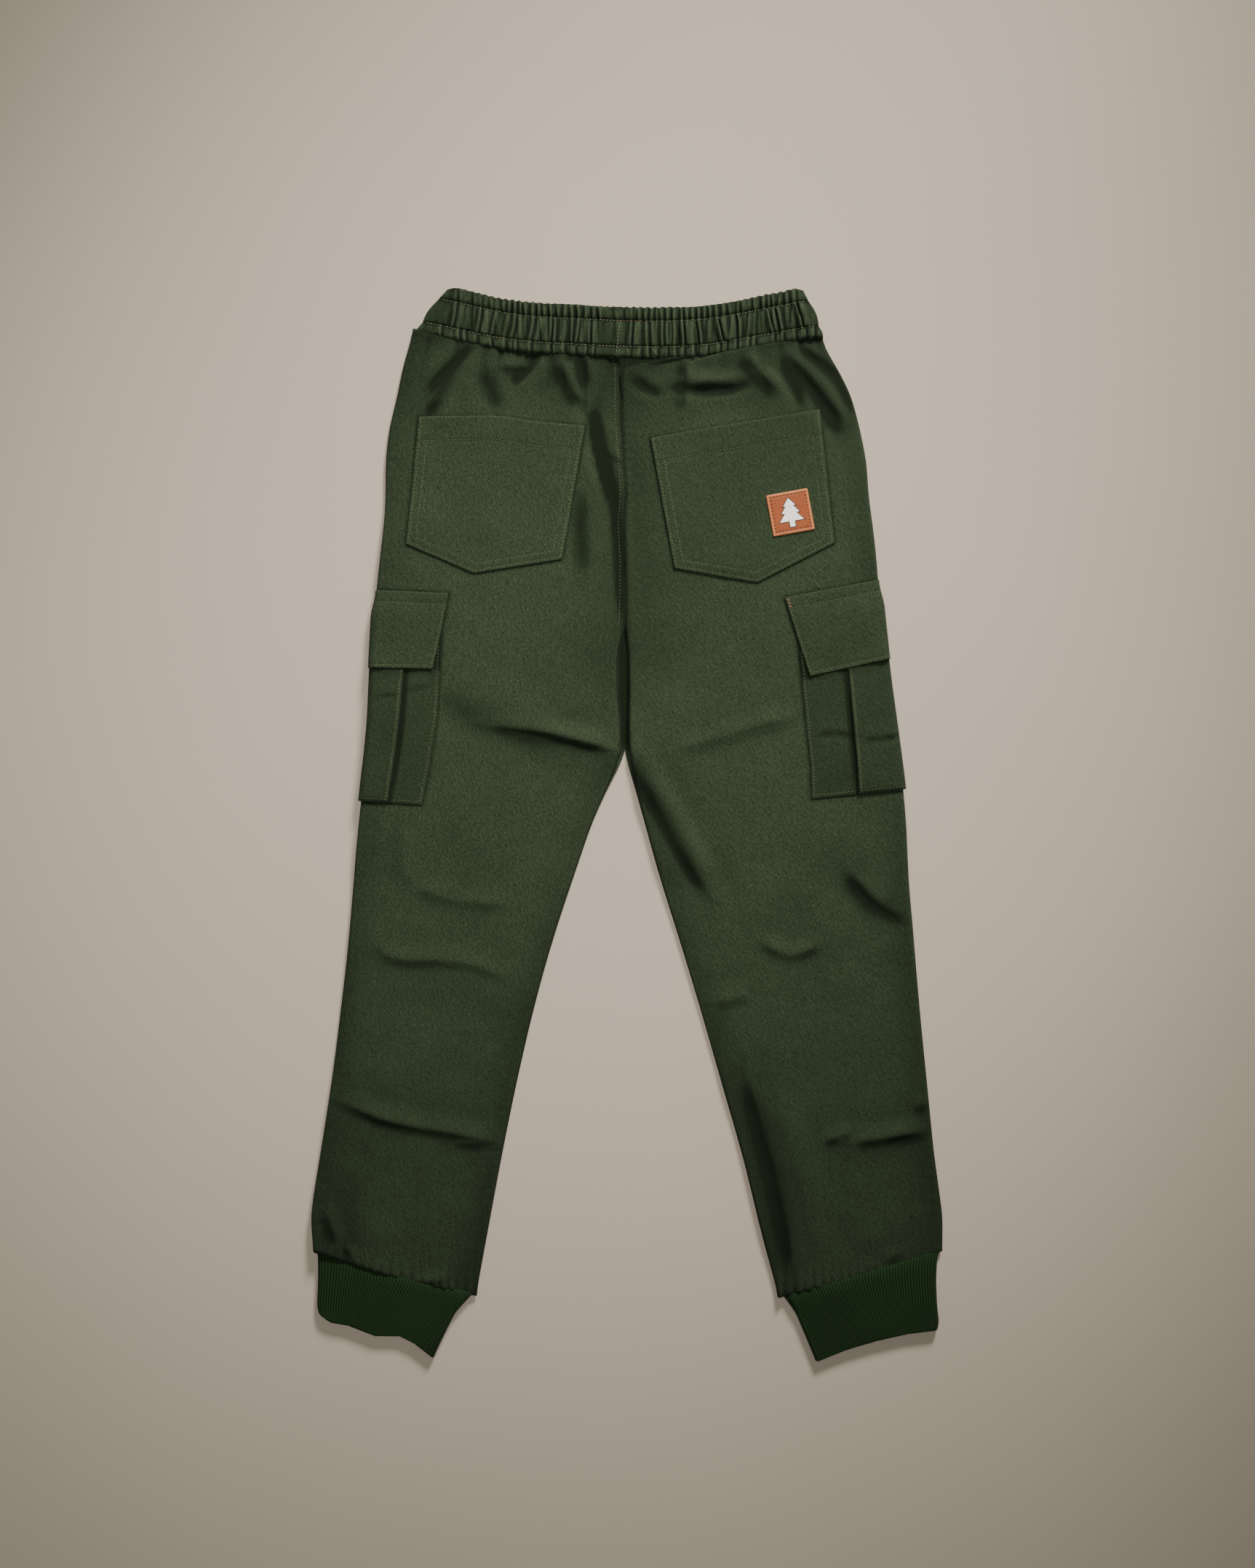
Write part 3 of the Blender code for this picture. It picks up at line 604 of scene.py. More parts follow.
def shell(name, grid, wall, look, lean, wear_and_highlight=None, painted_shade=None, tube=False, flip=False, rim_steps=3):
    """A closed thin shell inward of a grid, with a rounded rim.

    `lean` is the direction of the twill lines. The first field after it, from 0 to 1, is the fading of worn
    edges with painted highlights on ridges, and the second is painted shade in folds, gaps and seams. `tube`
    joins the first and last column, and `flip` is for a grid whose outer face is on the other side.
    """
    rows, across = grid.shape[:2]
    normal = normals_of(grid, tube) * (-1 if flip else 1)
    away = outward_of(grid, tube).reshape(-1, 3)
    outer, up = grid.reshape(-1, 3), normal.reshape(-1, 3)
    count = len(outer)
    points = [outer, outer - up * wall]
    sources = [np.arange(count), np.arange(count)]
    cells = cells_of(rows, across)
    faces = [cells, cells[:, ::-1] + count]
    total = 2 * count
    for ring in ring_of(rows, across, tube):
        levels = [ring]
        for step in range(1, rim_steps):
            angle = math.pi * step / rim_steps
            inward = up[ring] * wall / 2 * (1 - math.cos(angle))
            points.append(outer[ring] - inward + away[ring] * wall / 2 * math.sin(angle))
            sources.append(ring)
            levels.append(np.arange(total, total + len(ring)))
            total += len(ring)
        levels.append(ring + count)
        for upper, lower in zip(levels, levels[1:]):
            if tube:
                pairs = (upper[:-1], upper[1:], lower[1:], lower[:-1])
            else:
                pairs = (upper, np.roll(upper, -1), np.roll(lower, -1), lower)
            faces.append(np.stack(pairs, axis=-1))
    points, faces = np.concatenate(points), np.concatenate(faces)
    sources = np.concatenate(sources)
    if not flip:
        faces = faces[:, ::-1]
    angle = math.radians(lean)
    plan = outer[sources][:, :2] * MM
    fields = {
        "along": plan @ np.array([math.cos(angle), math.sin(angle)]),
        "across": plan @ np.array([-math.sin(angle), math.cos(angle)]),
    }
    for title, field in (("wear_and_highlight", wear_and_highlight), ("painted_shade", painted_shade)):
        given = np.zeros(count) if field is None else np.clip(field, 0, 1).reshape(-1)
        fields[title] = given[sources]
    made = mesh_piece(name, points, faces, look, fields)
    if tube:
        join_seam(made)
    return made


def mesh_piece(name, points, faces, look, fields=None):
    """A smooth mesh from points in millimetres, with float attributes on its points."""
    mesh = bpy.data.meshes.new(name)
    mesh.from_pydata((points * MM).tolist(), [], faces.tolist() if hasattr(faces, "tolist") else faces)
    mesh.update()
    mesh.shade_smooth()
    for title, values in (fields or {}).items():
        attribute = mesh.attributes.new(title, "FLOAT", "POINT")
        attribute.data.foreach_set("value", np.ascontiguousarray(values, np.float32))
    mesh.materials.append(look)
    made = bpy.data.objects.new(name, mesh)
    bpy.context.scene.collection.objects.link(made)
    return made


def join_seam(made):
    """Welds the first and the last column of a tube."""
    weld = made.modifiers.new("join", "WELD")
    weld.merge_threshold = 0.02 * MM


# ---- Lines on a grid


def lengths_along(points):
    """Length along a line of points, or down every column of a grid, up to each point."""
    steps = np.linalg.norm(np.diff(points, axis=0), axis=-1)
    return np.concatenate([np.zeros((1, *steps.shape[1:])), np.cumsum(steps, axis=0)])


def at_length(data, arc, place):
    """A line's points or normals at a length along it."""
    return np.array([np.interp(place, arc, axis) for axis in data.T])


def inset_line(grid, edge, distance):
    """Points a set distance in from one edge of a grid, with the normals there."""
    normal = normals_of(grid)
    turned_ways = {
        "top": lambda a: a,
        "bottom": lambda a: a[::-1],
        "first": lambda a: a.transpose(1, 0, 2),
        "last": lambda a: a[:, ::-1].transpose(1, 0, 2),
    }
    lines = turned_ways[edge](grid)
    ups = turned_ways[edge](normal)
    arc = lengths_along(lines)
    points, directions = [], []
    for column in range(lines.shape[1]):
        place = np.interp(distance, arc[:, column], np.arange(len(arc)))
        low = min(int(place), len(arc) - 2)
        part = place - low
        points.append(lines[low, column] * (1 - part) + lines[low + 1, column] * part)
        directions.append(ups[low, column] * (1 - part) + ups[low + 1, column] * part)
    return np.array(points), np.array(directions)


def cut_line(line, start, end):
    """The stretch of a line from `start` to `end` millimetres, counted from its end if negative."""
    points, ups = line
    arc = lengths_along(points)
    start, end = (value if value >= 0 else arc[-1] + value for value in (start, end))
    places = np.linspace(start, end, max(2, int((end - start) / 0.5)))
    return tuple(at_length(data, arc, places).T for data in (points, ups))


def stitch_points(here, way, across, up, lift):
    """One stitch's points: the end where it goes in, its rings and the end where it comes out."""
    half_long, half_wide, half_high = STITCH_HALF
    points = [here - way * half_long - up * 0.2]
    for angle in STITCH_RINGS:
        reach, thick = math.sin(angle), math.cos(angle)
        centre = here + way * half_long * reach + up * (lift - 0.25 * reach * reach)
        for side in range(STITCH_SIDES):
            round_it = TURN * side / STITCH_SIDES
            wide = across * half_wide * thick * math.cos(round_it)
            high = up * half_high * thick * math.sin(round_it)
            points.append(centre + wide + high)
    points.append(here + way * half_long - up * 0.2)
    return points


def stitch_faces(base):
    """Faces of the stitch whose points start at a number."""
    last = base + 1 + (len(STITCH_RINGS) - 1) * STITCH_SIDES
    tip = last + STITCH_SIDES
    faces = []
    for side in range(STITCH_SIDES):
        after = (side + 1) % STITCH_SIDES
        faces.append((base, base + 1 + after, base + 1 + side))
        for low in range(base + 1, last, STITCH_SIDES):
            high = low + STITCH_SIDES
            faces.append((low + side, low + after, high + after, high + side))
        faces.append((last + side, last + after, tip))
    return faces


def stitch_row(line, lift=STITCH_LIFT, pitch=STITCH_PITCH):
    """Points and faces of the stitches along a line of (points, normals)."""
    points, ups = line
    arc = lengths_along(points)
    count = max(1, int(arc[-1] / pitch))
    verts, faces = [], []
    for number in range(count):
        middle = (number + 0.5) * arc[-1] / count
        here, up = at_length(points, arc, middle), at_length(ups, arc, middle)
        before, after = (at_length(points, arc, middle + way * STITCH_HALF[0]) for way in (-1, 1))
        way = (after - before) / max(np.linalg.norm(after - before), 1e-9)
        up = up - way * (up @ way)
        up /= max(np.linalg.norm(up), 1e-9)
        across = np.cross(up, way)
        tilted = way * math.cos(STITCH_TILT) + across * math.sin(STITCH_TILT)
        across = across * math.cos(STITCH_TILT) - way * math.sin(STITCH_TILT)
        faces += stitch_faces(len(verts))
        verts += stitch_points(here, tilted, across, up, lift)
    return np.array(verts), faces


def stitching(name, lines, look, **options):
    """One piece of all the stitches along some lines."""
    points, faces, count = [], [], 0
    for line in lines:
        row_points, row_faces = stitch_row(line, **options)
        points.append(row_points)
        faces += [tuple(corner + count for corner in face) for face in row_faces]
        count += len(row_points)
    return mesh_piece(name, np.concatenate(points), faces, look)


def thread_tail(name, path, radius, look):
    """A loose end of thread along a few points."""
    line = smooth_line(path, 16)
    way = np.gradient(line, axis=0)
    way /= np.linalg.norm(way, axis=1, keepdims=True)
    side = np.cross(way, (0, 0, 1))
    side /= np.maximum(np.linalg.norm(side, axis=1, keepdims=True), 1e-9)
    up = np.cross(side, way)
    points = []
    for round_it in np.arange(TAIL_SIDES) / TAIL_SIDES * TURN:
        points.append(line + radius * (side * math.cos(round_it) + up * math.sin(round_it)))
    count = len(line)
    starts = [number * count for number in range(TAIL_SIDES)]
    faces = []
    for here, after in zip(starts, starts[1:] + starts[:1]):
        for step in range(count - 1):
            faces.append((here + step, here + step + 1, after + step + 1, after + step))
    faces.append(tuple(starts))
    faces.append(tuple(start + count - 1 for start in reversed(starts)))
    return mesh_piece(name, np.concatenate(points), faces, look)


# ---- Materials


def blank(name, roughness, sheen=0.0, specular=0.3):
    material = bpy.data.materials.new(name)
    material.use_nodes = True
    shader = material.node_tree.nodes["Principled BSDF"]
    shader.inputs["Roughness"].default_value = roughness
    shader.inputs["Sheen Weight"].default_value = sheen
    shader.inputs["Sheen Roughness"].default_value = 0.5
    shader.inputs["Specular IOR Level"].default_value = specular
    return material, material.node_tree, shader


def put(tree, socket, value):
    """Sets a socket to a number, or links it to another socket."""
    if isinstance(value, bpy.types.NodeSocket):
        tree.links.new(value, socket)
    else:
        socket.default_value = value


def math_of(tree, operation, first, second=0.0, third=None):
    """A maths node's output."""
    made = tree.nodes.new("ShaderNodeMath")
    made.operation = operation
    put(tree, made.inputs[0], first)
    put(tree, made.inputs[1], second)
    if third is not None:
        put(tree, made.inputs[2], third)
    return made.outputs[0]


def attribute_of(tree, title):
    made = tree.nodes.new("ShaderNodeAttribute")
    made.attribute_name = title
    return made.outputs["Fac"]


def grain(tree, vector, scale, detail=2.0):
    made = tree.nodes.new("ShaderNodeTexNoise")
    put(tree, made.inputs["Vector"], vector)
    made.inputs["Scale"].default_value = scale
    made.inputs["Detail"].default_value = detail
    return made.outputs["Fac"]


def blend_of(tree, part, first, second, kind="MIX"):
    made = tree.nodes.new("ShaderNodeMix")
    made.data_type = "RGBA"
    made.blend_type = kind
    put(tree, made.inputs["Factor"], part)
    colours = [socket for socket in made.inputs if socket.type == "RGBA"]
    for socket, value in zip(colours, (first, second)):
        put(tree, socket, value if isinstance(value, bpy.types.NodeSocket) else (*value, 1))
    return [socket for socket in made.outputs if socket.type == "RGBA"][0]


def vector_of(tree, x, y, z=0.0):
    made = tree.nodes.new("ShaderNodeCombineXYZ")
    for socket, value in zip(made.inputs, (x, y, z)):
        put(tree, socket, value)
    return made.outputs[0]


def toned(tree, colour, tone):
    """A colour made lighter or darker by a number."""
    return blend_of(tree, 1.0, colour, vector_of(tree, tone, tone, tone), "MULTIPLY")


def object_place(tree):
    return tree.nodes.new("ShaderNodeTexCoord").outputs["Object"]


def wave(tree, value, pitch, shift=0.0):
    """0 to 1 and back over every pitch."""
    phase = math_of(tree, "MULTIPLY_ADD", value, TURN / pitch, shift)
    return math_of(tree, "MULTIPLY_ADD", math_of(tree, "SINE", phase), 0.5, 0.5)


def bump(tree, shader, height, distance, strength=1.0):
    made = tree.nodes.new("ShaderNodeBump")
    made.inputs["Distance"].default_value = distance
    made.inputs["Strength"].default_value = strength
    put(tree, made.inputs["Height"], height)
    tree.links.new(made.outputs[0], shader.inputs["Normal"])


def twill_material():
    material, tree, shader = blank("twill_cloth", 0.92, 0.03, 0.12)
    along, across = attribute_of(tree, "along"), attribute_of(tree, "across")
    place = vector_of(tree, along, across)
    drift = math_of(tree, "MULTIPLY", grain(tree, place, 260.0), 2.2)
    wale = wave(tree, across, TWILL_PITCH, drift)
    lag = math_of(tree, "MULTIPLY", across, TURN / TWILL_PITCH * 0.5)
    yarn = wave(tree, along, YARN_PITCH, lag)
    weave = math_of(tree, "MULTIPLY", wale, math_of(tree, "MULTIPLY_ADD", yarn, 0.35, 0.65))
    stretched = vector_of(tree, math_of(tree, "MULTIPLY", along, 0.12), across)
    streaks = grain(tree, stretched, 900.0, 1.0)
    mottle = grain(tree, place, 9.0, 3.0)
    lit = math_of(tree, "MULTIPLY_ADD", streaks, 0.5, math_of(tree, "MULTIPLY_ADD", weave, 0.8, -0.15))
    colour = blend_of(tree, lit, TWILL_DARK, TWILL_LIGHT)
    tone = math_of(tree, "MULTIPLY_ADD", mottle, 0.34, 0.83)
    fine = grain(tree, place, 430.0, 3.0)
    tone = math_of(tree, "MULTIPLY_ADD", fine, 1.7, math_of(tree, "ADD", tone, -0.85))
    colour = toned(tree, colour, tone)
    # Fading of worn edges and painted highlights on ridges lighten the cloth
    wear_and_highlight = math_of(tree, "MULTIPLY", attribute_of(tree, "wear_and_highlight"), weave)
    colour = blend_of(tree, wear_and_highlight, colour, TWILL_WORN_AND_HIGHLIGHT)
    # Painted shade of folds, gaps and seams darkens the cloth towards the dark yarn
    painted_shade = math_of(tree, "MULTIPLY", attribute_of(tree, "painted_shade"), 0.92)
    colour = blend_of(tree, painted_shade, colour, TWILL_DARK)
    tree.links.new(colour, shader.inputs["Base Color"])
    bump(tree, shader, weave, 0.00016, 0.8)
    return material


def rib_material():
    material, tree, shader = blank("rib_knit", 0.95, 0.03, 0.12)
    along, across = attribute_of(tree, "along"), attribute_of(tree, "across")
    place = vector_of(tree, along, across)
    # The rib field paints the raised ribs light and the valleys between them near black: the knit's own
    # pattern with painted shade in the valleys
    rib = attribute_of(tree, "wear_and_highlight")
    knit = wave(tree, along, 0.0011, math_of(tree, "MULTIPLY", rib, 2.4))
    fuzz = grain(tree, place, 1500.0, 2.0)
    mottle = grain(tree, place, 14.0, 2.0)
    lit = math_of(tree, "MULTIPLY", rib, math_of(tree, "MULTIPLY_ADD", knit, 0.35, 0.5))
    lit = math_of(tree, "MULTIPLY_ADD", fuzz, 0.35, lit)
    colour = blend_of(tree, lit, RIB_DARK, RIB_LIGHT)
    tone = math_of(tree, "MULTIPLY_ADD", mottle, 0.4, 0.8)
    colour = toned(tree, colour, tone)
    tree.links.new(colour, shader.inputs["Base Color"])
    bump(tree, shader, lit, 0.0002, 0.7)
    return material


def thread_material(name, tone):
    material, tree, shader = blank(name, 0.6, 0.1)
    coordinate = object_place(tree)
    strands = grain(tree, coordinate, 2500.0, 2.0)
    dark = tuple(value * 0.55 for value in tone)
    tree.links.new(blend_of(tree, strands, dark, tone), shader.inputs["Base Color"])
    bump(tree, shader, strands, 0.0001, 0.6)
    return material


def leather_material():
    material, tree, shader = blank("leather_badge", 0.55)
    coordinate = object_place(tree)
    pores = tree.nodes.new("ShaderNodeTexVoronoi")
    pores.inputs["Scale"].default_value = 900.0
    tree.links.new(coordinate, pores.inputs["Vector"])
    mottle = grain(tree, coordinate, 120.0, 4.0)
    edge = attribute_of(tree, "wear_and_highlight")
    colour = blend_of(tree, edge, LEATHER_FACE, LEATHER_EDGE)
    tone = math_of(tree, "MULTIPLY_ADD", mottle, 0.4, 0.8)
    colour = toned(tree, colour, tone)
    # The stitch holes are painted dark: painted shade in the holes
    colour = blend_of(tree, attribute_of(tree, "pit"), colour, BADGE_LINE)
    tree.links.new(colour, shader.inputs["Base Color"])
    bump(tree, shader, math_of(tree, "ADD", pores.outputs["Distance"], mottle), 0.0002, 0.5)
    return material


def paint_material(name, tone, roughness):
    material, tree, shader = blank(name, roughness)
    coordinate = object_place(tree)
    speck = grain(tree, coordinate, 700.0, 3.0)
    dark = tuple(value * 0.86 for value in tone)
    tree.links.new(blend_of(tree, speck, dark, tone), shader.inputs["Base Color"])
    bump(tree, shader, speck, 0.0001, 0.3)
    return material


def floor_material():
    material, tree, shader = blank("floor", 0.9)
    coordinate = object_place(tree)
    soft = grain(tree, coordinate, 3.0, 3.0)
    dark = tuple(value * 0.94 for value in FLOOR_TONE)
    tree.links.new(blend_of(tree, soft, dark, FLOOR_TONE), shader.inputs["Base Color"])
    return material


twill = twill_material()
rib_knit = rib_material()
pale_thread = thread_material("pale_thread", THREAD_PALE)
band_thread = thread_material("band_thread", THREAD_BAND)
tan_thread = thread_material("tan_thread", THREAD_TAN)
leather = leather_material()
paint = paint_material("badge_paint", BADGE_PAINT, 0.5)
paint_line = paint_material("badge_paint_line", BADGE_LINE, 0.6)


def keep(piece, slot, *nodes):
    """Every piece rides on the frame's one body."""
    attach(piece, "root")
    if nodes:
        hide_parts(*nodes)
    return piece


# ---- Legs


def from_line(x, y, points, reach):
    """Which places are near a smooth line, their signed distances to it and their shares of its length."""
    line = smooth_line(points, 24)
    low, high = line.min(axis=0) - reach, line.max(axis=0) + reach
    near = (x > low[0]) & (x < high[0]) & (y > low[1]) & (y < high[1])
    at = np.stack([x[near], y[near]], axis=1)
    best = np.full(len(at), np.inf)
    signed, share = np.zeros(len(at)), np.zeros(len(at))
    for number, (start, end) in enumerate(zip(line, line[1:])):
        way = end - start
        part = np.clip(((at - start) @ way) / (way @ way), 0, 1)
        off = at - start - part[:, None] * way
        away = np.linalg.norm(off, axis=1)
        side = np.sign(way[0] * off[:, 1] - way[1] * off[:, 0])
        closer = away < best
        best[closer] = away[closer]
        signed[closer] = (away * side)[closer]
        share[closer] = (number + part[closer]) / (len(line) - 1)
    return near, signed, share


def crease_field(x, y, creases, seed):
    """Height of the listed creases over a grid of places, and the painted shade of the lines at their feet.
    """
    total, lines = np.zeros_like(x), np.zeros_like(x)
    draw = np.random.default_rng(seed)
    for height, soft, steep, points in creases:
        near, signed, share = from_line(x, y, points, 3.2 * max(soft, steep))
        steep = steep * STEEP_SHARE
        profile = np.where(signed >= 0, bell(signed, soft), bell(signed, steep))
        profile -= 0.45 * bell(signed + 2.1 * steep, 1.1 * steep)
        fade = soft_step(share, 0, 0.28) * (1 - soft_step(share, 0.72, 1))
        fade = 0.12 + 0.88 * fade
        uneven = 1 + 0.22 * np.sin(share * draw.uniform(6, 12) + draw.uniform(0, TURN))
        total[near] += CREASE_DEPTH * height * profile * fade * uneven
        # Painted shade: a thin line at the crease's foot and a broader one in the dip beyond it
        dark = 0.55 * bell(signed + 0.9 * steep, CREASE_LINE) + 0.3 * bell(signed + 2.0 * steep, 2.2 * steep)
        lines[near] += height / 2 * dark * fade * uneven
    return total, lines


def valley_field(x, y):
    """Painted shade of the broad valleys, and the ridges on both sides of them."""
    total, ridges = np.zeros_like(x), np.zeros_like(x)
    for strength, width, points in VALLEYS:
        near, signed, share = from_line(x, y, points, 4.5 * width)
        fade = strength * soft_step(share, -0.1, 0.3) * (1 - soft_step(share, 0.7, 1.1))
        total[near] += fade * bell(signed, width)
        ridges[near] += fade * (bell(signed - 2.1 * width, width) + bell(signed + 2.1 * width, width))
    return total, ridges


def row_distances(width, count):
    """Distances from the outer edge of every point of rows of the given widths."""
    turn = EDGE_ROUND * (1 - np.cos(np.radians(ROUND_ANGLES)))
    shares = np.linspace(0, 1, count + 1)[1:-1]
    start = np.broadcast_to(turn, (len(width), len(turn)))
    flat = turn[-1] + (width - 2 * turn[-1]) * shares[None, :]
    return np.concatenate([start, flat, width - turn[::-1][None, :]], axis=1)


def panel_edges(side, node, places):
    """X and height of a panel's outer and inner edges at the places of each along Y."""
    low, high = (corner.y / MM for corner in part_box(node))
    edges = []
    for which, way in enumerate((SIDES[side], -SIDES[side])):
        within = max(low, HEM_ROW[which]) + BOX_MARGIN, min(high, WAIST_ROW[which]) - BOX_MARGIN
        edges.append(extremes(node, 1, np.clip(places[which], *within), way))
    return edges


def bend_ends(node, y, share, outer, inner, outer_y, inner_y):
    """Bends the rows near the waist and the hem to the panel's own curved ends."""
    probe = np.linspace(0.04, 0.96, 40)
    for row, direction in ((0, 1), (-1, -1)):
        probe_x = outer[row, 0] + (inner[row, 0] - outer[row, 0]) * probe
        chord = outer_y[row] + (inner_y[row] - outer_y[row]) * probe
        gap = blur(extremes(node, 0, probe_x, direction)[:, 0] - chord, 1.5, 0)
        gap += BAND_UNDER if row == 0 else 0
        middle = (outer_y + inner_y) / 2
        fade = 1 - soft_step(np.abs(middle - middle[row]), 0, SEAM_FADE)
        y = y + fade[:, None] * np.interp(share[row], probe, gap)[None, :]
    return y


def leg_plan(side, node, cell):
    """Plan of a leg panel, with the distances of its points from its edges, its waist and its hem."""
    seat_rows = round((WAIST_ROW[0] - CROTCH_ROW[0]) / cell)
    leg_rows = round((CROTCH_ROW[0] - HEM_ROW[0]) / cell)
    seat, leg = np.linspace(0, 1, seat_rows + 1)[:-1], np.linspace(0, 1, leg_rows + 1)
    outer_y, inner_y = (
        np.concatenate([waist + (crotch - waist) * seat, crotch + (hem - crotch) * leg])
        for waist, crotch, hem in zip(WAIST_ROW, CROTCH_ROW, HEM_ROW)
    )
    outer, inner = panel_edges(side, node, (outer_y, inner_y))
    soft = EDGE_SOFT / cell
    outer = blur(outer, soft, 0)
    inner = np.concatenate([blur(inner[:seat_rows], soft / 2, 0), blur(inner[seat_rows:], soft, 0)])
    width = np.abs(outer[:, 0] - inner[:, 0])[:, None]
    distance = row_distances(width, int(LEG_WIDTH / cell))
    share = distance / width
    x = outer[:, :1] + (inner[:, :1] - outer[:, :1]) * share
    y = outer_y[:, None] + (inner_y - outer_y)[:, None] * share
    y = bend_ends(node, y, share, outer, inner, outer_y, inner_y)
    arc = lengths_along(np.stack([x, y], axis=-1))
    plan = SimpleNamespace(x=x, y=y, share=share, out=distance, into=width - distance)
    plan.from_waist, plan.to_hem = arc, arc[-1:] - arc
    plan.outer_z, plan.inner_z, plan.inner_y = outer[:, 1], inner[:, 1], inner_y[:, None]
    plan.on_leg = (plan.inner_y < CROTCH_ROW[1]).astype(float)
    plan.level = (plan.inner_y > SLIT_OPEN) * soft_step(plan.inner_y, SLIT_OPEN, SLIT_TOP)
    return plan


def cloth_heights(node, plan, down):
    """Smooth height of a CAD panel's outer face over the places of a plan."""
    tree = tree_of_node(node)
    x, y, share = plan.x, plan.y, plan.share
    rows = np.arange(0, len(x), 3)
    probe = np.linspace(0.05, 0.95, 31)
    found = []
    for row in rows:
        at_x = np.interp(probe, share[row], x[row])
        at_y = np.interp(probe, share[row], y[row])
        found.append(heights(tree, at_x, at_y, down))
    coarse = blurred(filled(np.array(found)), 1.6, 1.2)
    full = np.stack([np.interp(np.arange(len(x)), rows, column) for column in coarse.T], axis=1)
    return np.stack([np.interp(share[row], probe, full[row]) for row in range(len(x))])


def lift_of(plan, opening):
    """Share of its height that the cloth keeps near its edges. `opening` is 1 where the inner one is free."""
    at_waist = 0.3 + 0.7 * turned(plan.from_waist, BAND_UNDER + SEAM_TUCK)
    at_hem = 0.85 + 0.15 * turned(plan.to_hem, SEAM_TUCK)
    at_inner = 1 - opening * (1 - turned(plan.into, EDGE_ROUND))
    return turned(plan.out, EDGE_ROUND) * at_inner * at_waist * at_hem


def middle_height(x, y):
    """Height of the line where the back and the front cloth meet at a side edge."""
    low, high = WRAP_BAND
    side_share = np.clip((np.abs(x) - WRAP_INNER) / WRAP_SPAN, 0, 1)
    along = soft_step(y, low - WRAP_FADE, low) * (1 - soft_step(y, high, high + WRAP_FADE))
    return LEG_HEIGHT / 2 + STACK * along * soft_step(side_share, 0, 1)


def gap_shade(side, x, y):
    """Painted shade on the cloth right outside the edges of a half's pockets and flap."""
    sign = SIDES[side]
    top, bottom = BACK_POCKET[side]
    pocket, flap = POCKET_ROWS[side], FLAP_ROWS[side]
    edges = [
        (0.85, [top[0], *bottom]),
        (0.85, [bottom[-1], top[-1]]),
        (0.5, top),
        (0.9, [row[2:4] for row in pocket]),
        (0.9, [pocket[-1][2:4], (sign * 262, pocket[-1][1])]),
        (0.95, [row[2:4] for row in flap]),
        (0.8, [flap[0][2:4], (sign * 248, flap[0][1])]),
    ]
    shade = np.zeros_like(x)
    at = np.stack([x, y], axis=-1)
    for strength, points in edges:
        points = np.array(points, float)
        for start, end in zip(points, points[1:]):
            way = end - start
            part = np.clip(((at - start) @ way) / (way @ way), 0, 1)
            away = np.linalg.norm(at - start - part[..., None] * way, axis=-1)
            shade = np.maximum(shade, strength * bell(away, GAP_WIDTH))
    return shade


def back_relief(plan, seed):
    """Height of the back's creases, valleys, gathers and ripples, and the painted shade of its folds."""
    x, y, out, into = plan.x, plan.y, plan.out, plan.into
    creases, lines = crease_field(x, y, CREASES, seed)
    valleys, ridges = valley_field(x, y)
    relief = creases + RIDGE_RISE * ridges - VALLEY_DEPTH * valleys
    relief += 0.35 * ripples(y, out, 9.5, 7, seed + 30) * soft_step(out, 1, 5)
    relief += 0.35 * ripples(y, into, 8.5, 7, seed + 31) * plan.on_leg * soft_step(into, 1, 5)
    relief += 0.3 * ripples(y, into, 7.5, 8, seed + 32) * (plan.inner_y > SLIT_TOP - 20)
    for at_x, strength in SEAT_GATHERS:
        off = x - at_x - (at_x - GATHER_MIDDLE) * GATHER_FAN * plan.from_waist
        relief += 1.5 * strength * bell(off, 3.4) * np.exp(-plan.from_waist / 15)
        relief -= 0.9 * strength * bell(off - 6, 3.6) * np.exp(-plan.from_waist / 13)
    relief += 0.8 * ripples(x, plan.to_hem, 9.0, 10, seed + 33)
    return relief, lines + 1.1 * valleys


def back_shades(side, plan, relief, folds):
    """Fading of the back cloth's worn edges and painted highlights on its ridges, and its painted shade."""
    y, out, into = plan.y, plan.out, plan.into
    small = relief - blurred(relief, 7, 7)
    inside = soft_step(out, 0, 9)
    wear_and_highlight = 0.12 * (bell(out - 2, 2.5) + plan.on_leg * bell(into - 2, 2.5))
    # Painted highlight on the small ridges
    wear_and_highlight += 0.22 * np.clip(small / 1.2, 0, 1) * inside
    # Painted shade in the small hollows and the folds, in the gaps round the pockets and flap, and in the
    # open centre seam
    painted_shade = 0.7 * np.clip(-small, 0, 1) * inside + folds
    painted_shade = np.maximum(painted_shade, gap_shade(side, plan.x, y))
    slit_reach = SLIT_DARK[side] * columns(SLIT_SHAPE, plan.inner_y)[0]
    painted_shade = np.maximum(painted_shade, soft_step(slit_reach - into, -1, 1))
    # Painted shade towards both edges, where the cloth turns over
    painted_shade += 0.32 * (bell(out, 24) + plan.on_leg * bell(into, 20))
    # Painted shade under the waist seam, beside the centre seam and at the hem, and darker cloth down the
    # shins
    painted_shade += 0.34 * soft_step(y, 20, -360) + 0.26 * soft_step(y, 370, 440)
    painted_shade += 0.36 * bell(into, 42) * soft_step(y, 90, 160)
    painted_shade += 0.6 * np.exp(-np.maximum(plan.from_waist - BAND_UNDER, 0) / 3.5)
    painted_shade += 0.5 * plan.level * bell(into, 2.2) + 0.4 * np.exp(-plan.to_hem / 3)
    return wear_and_highlight, painted_shade


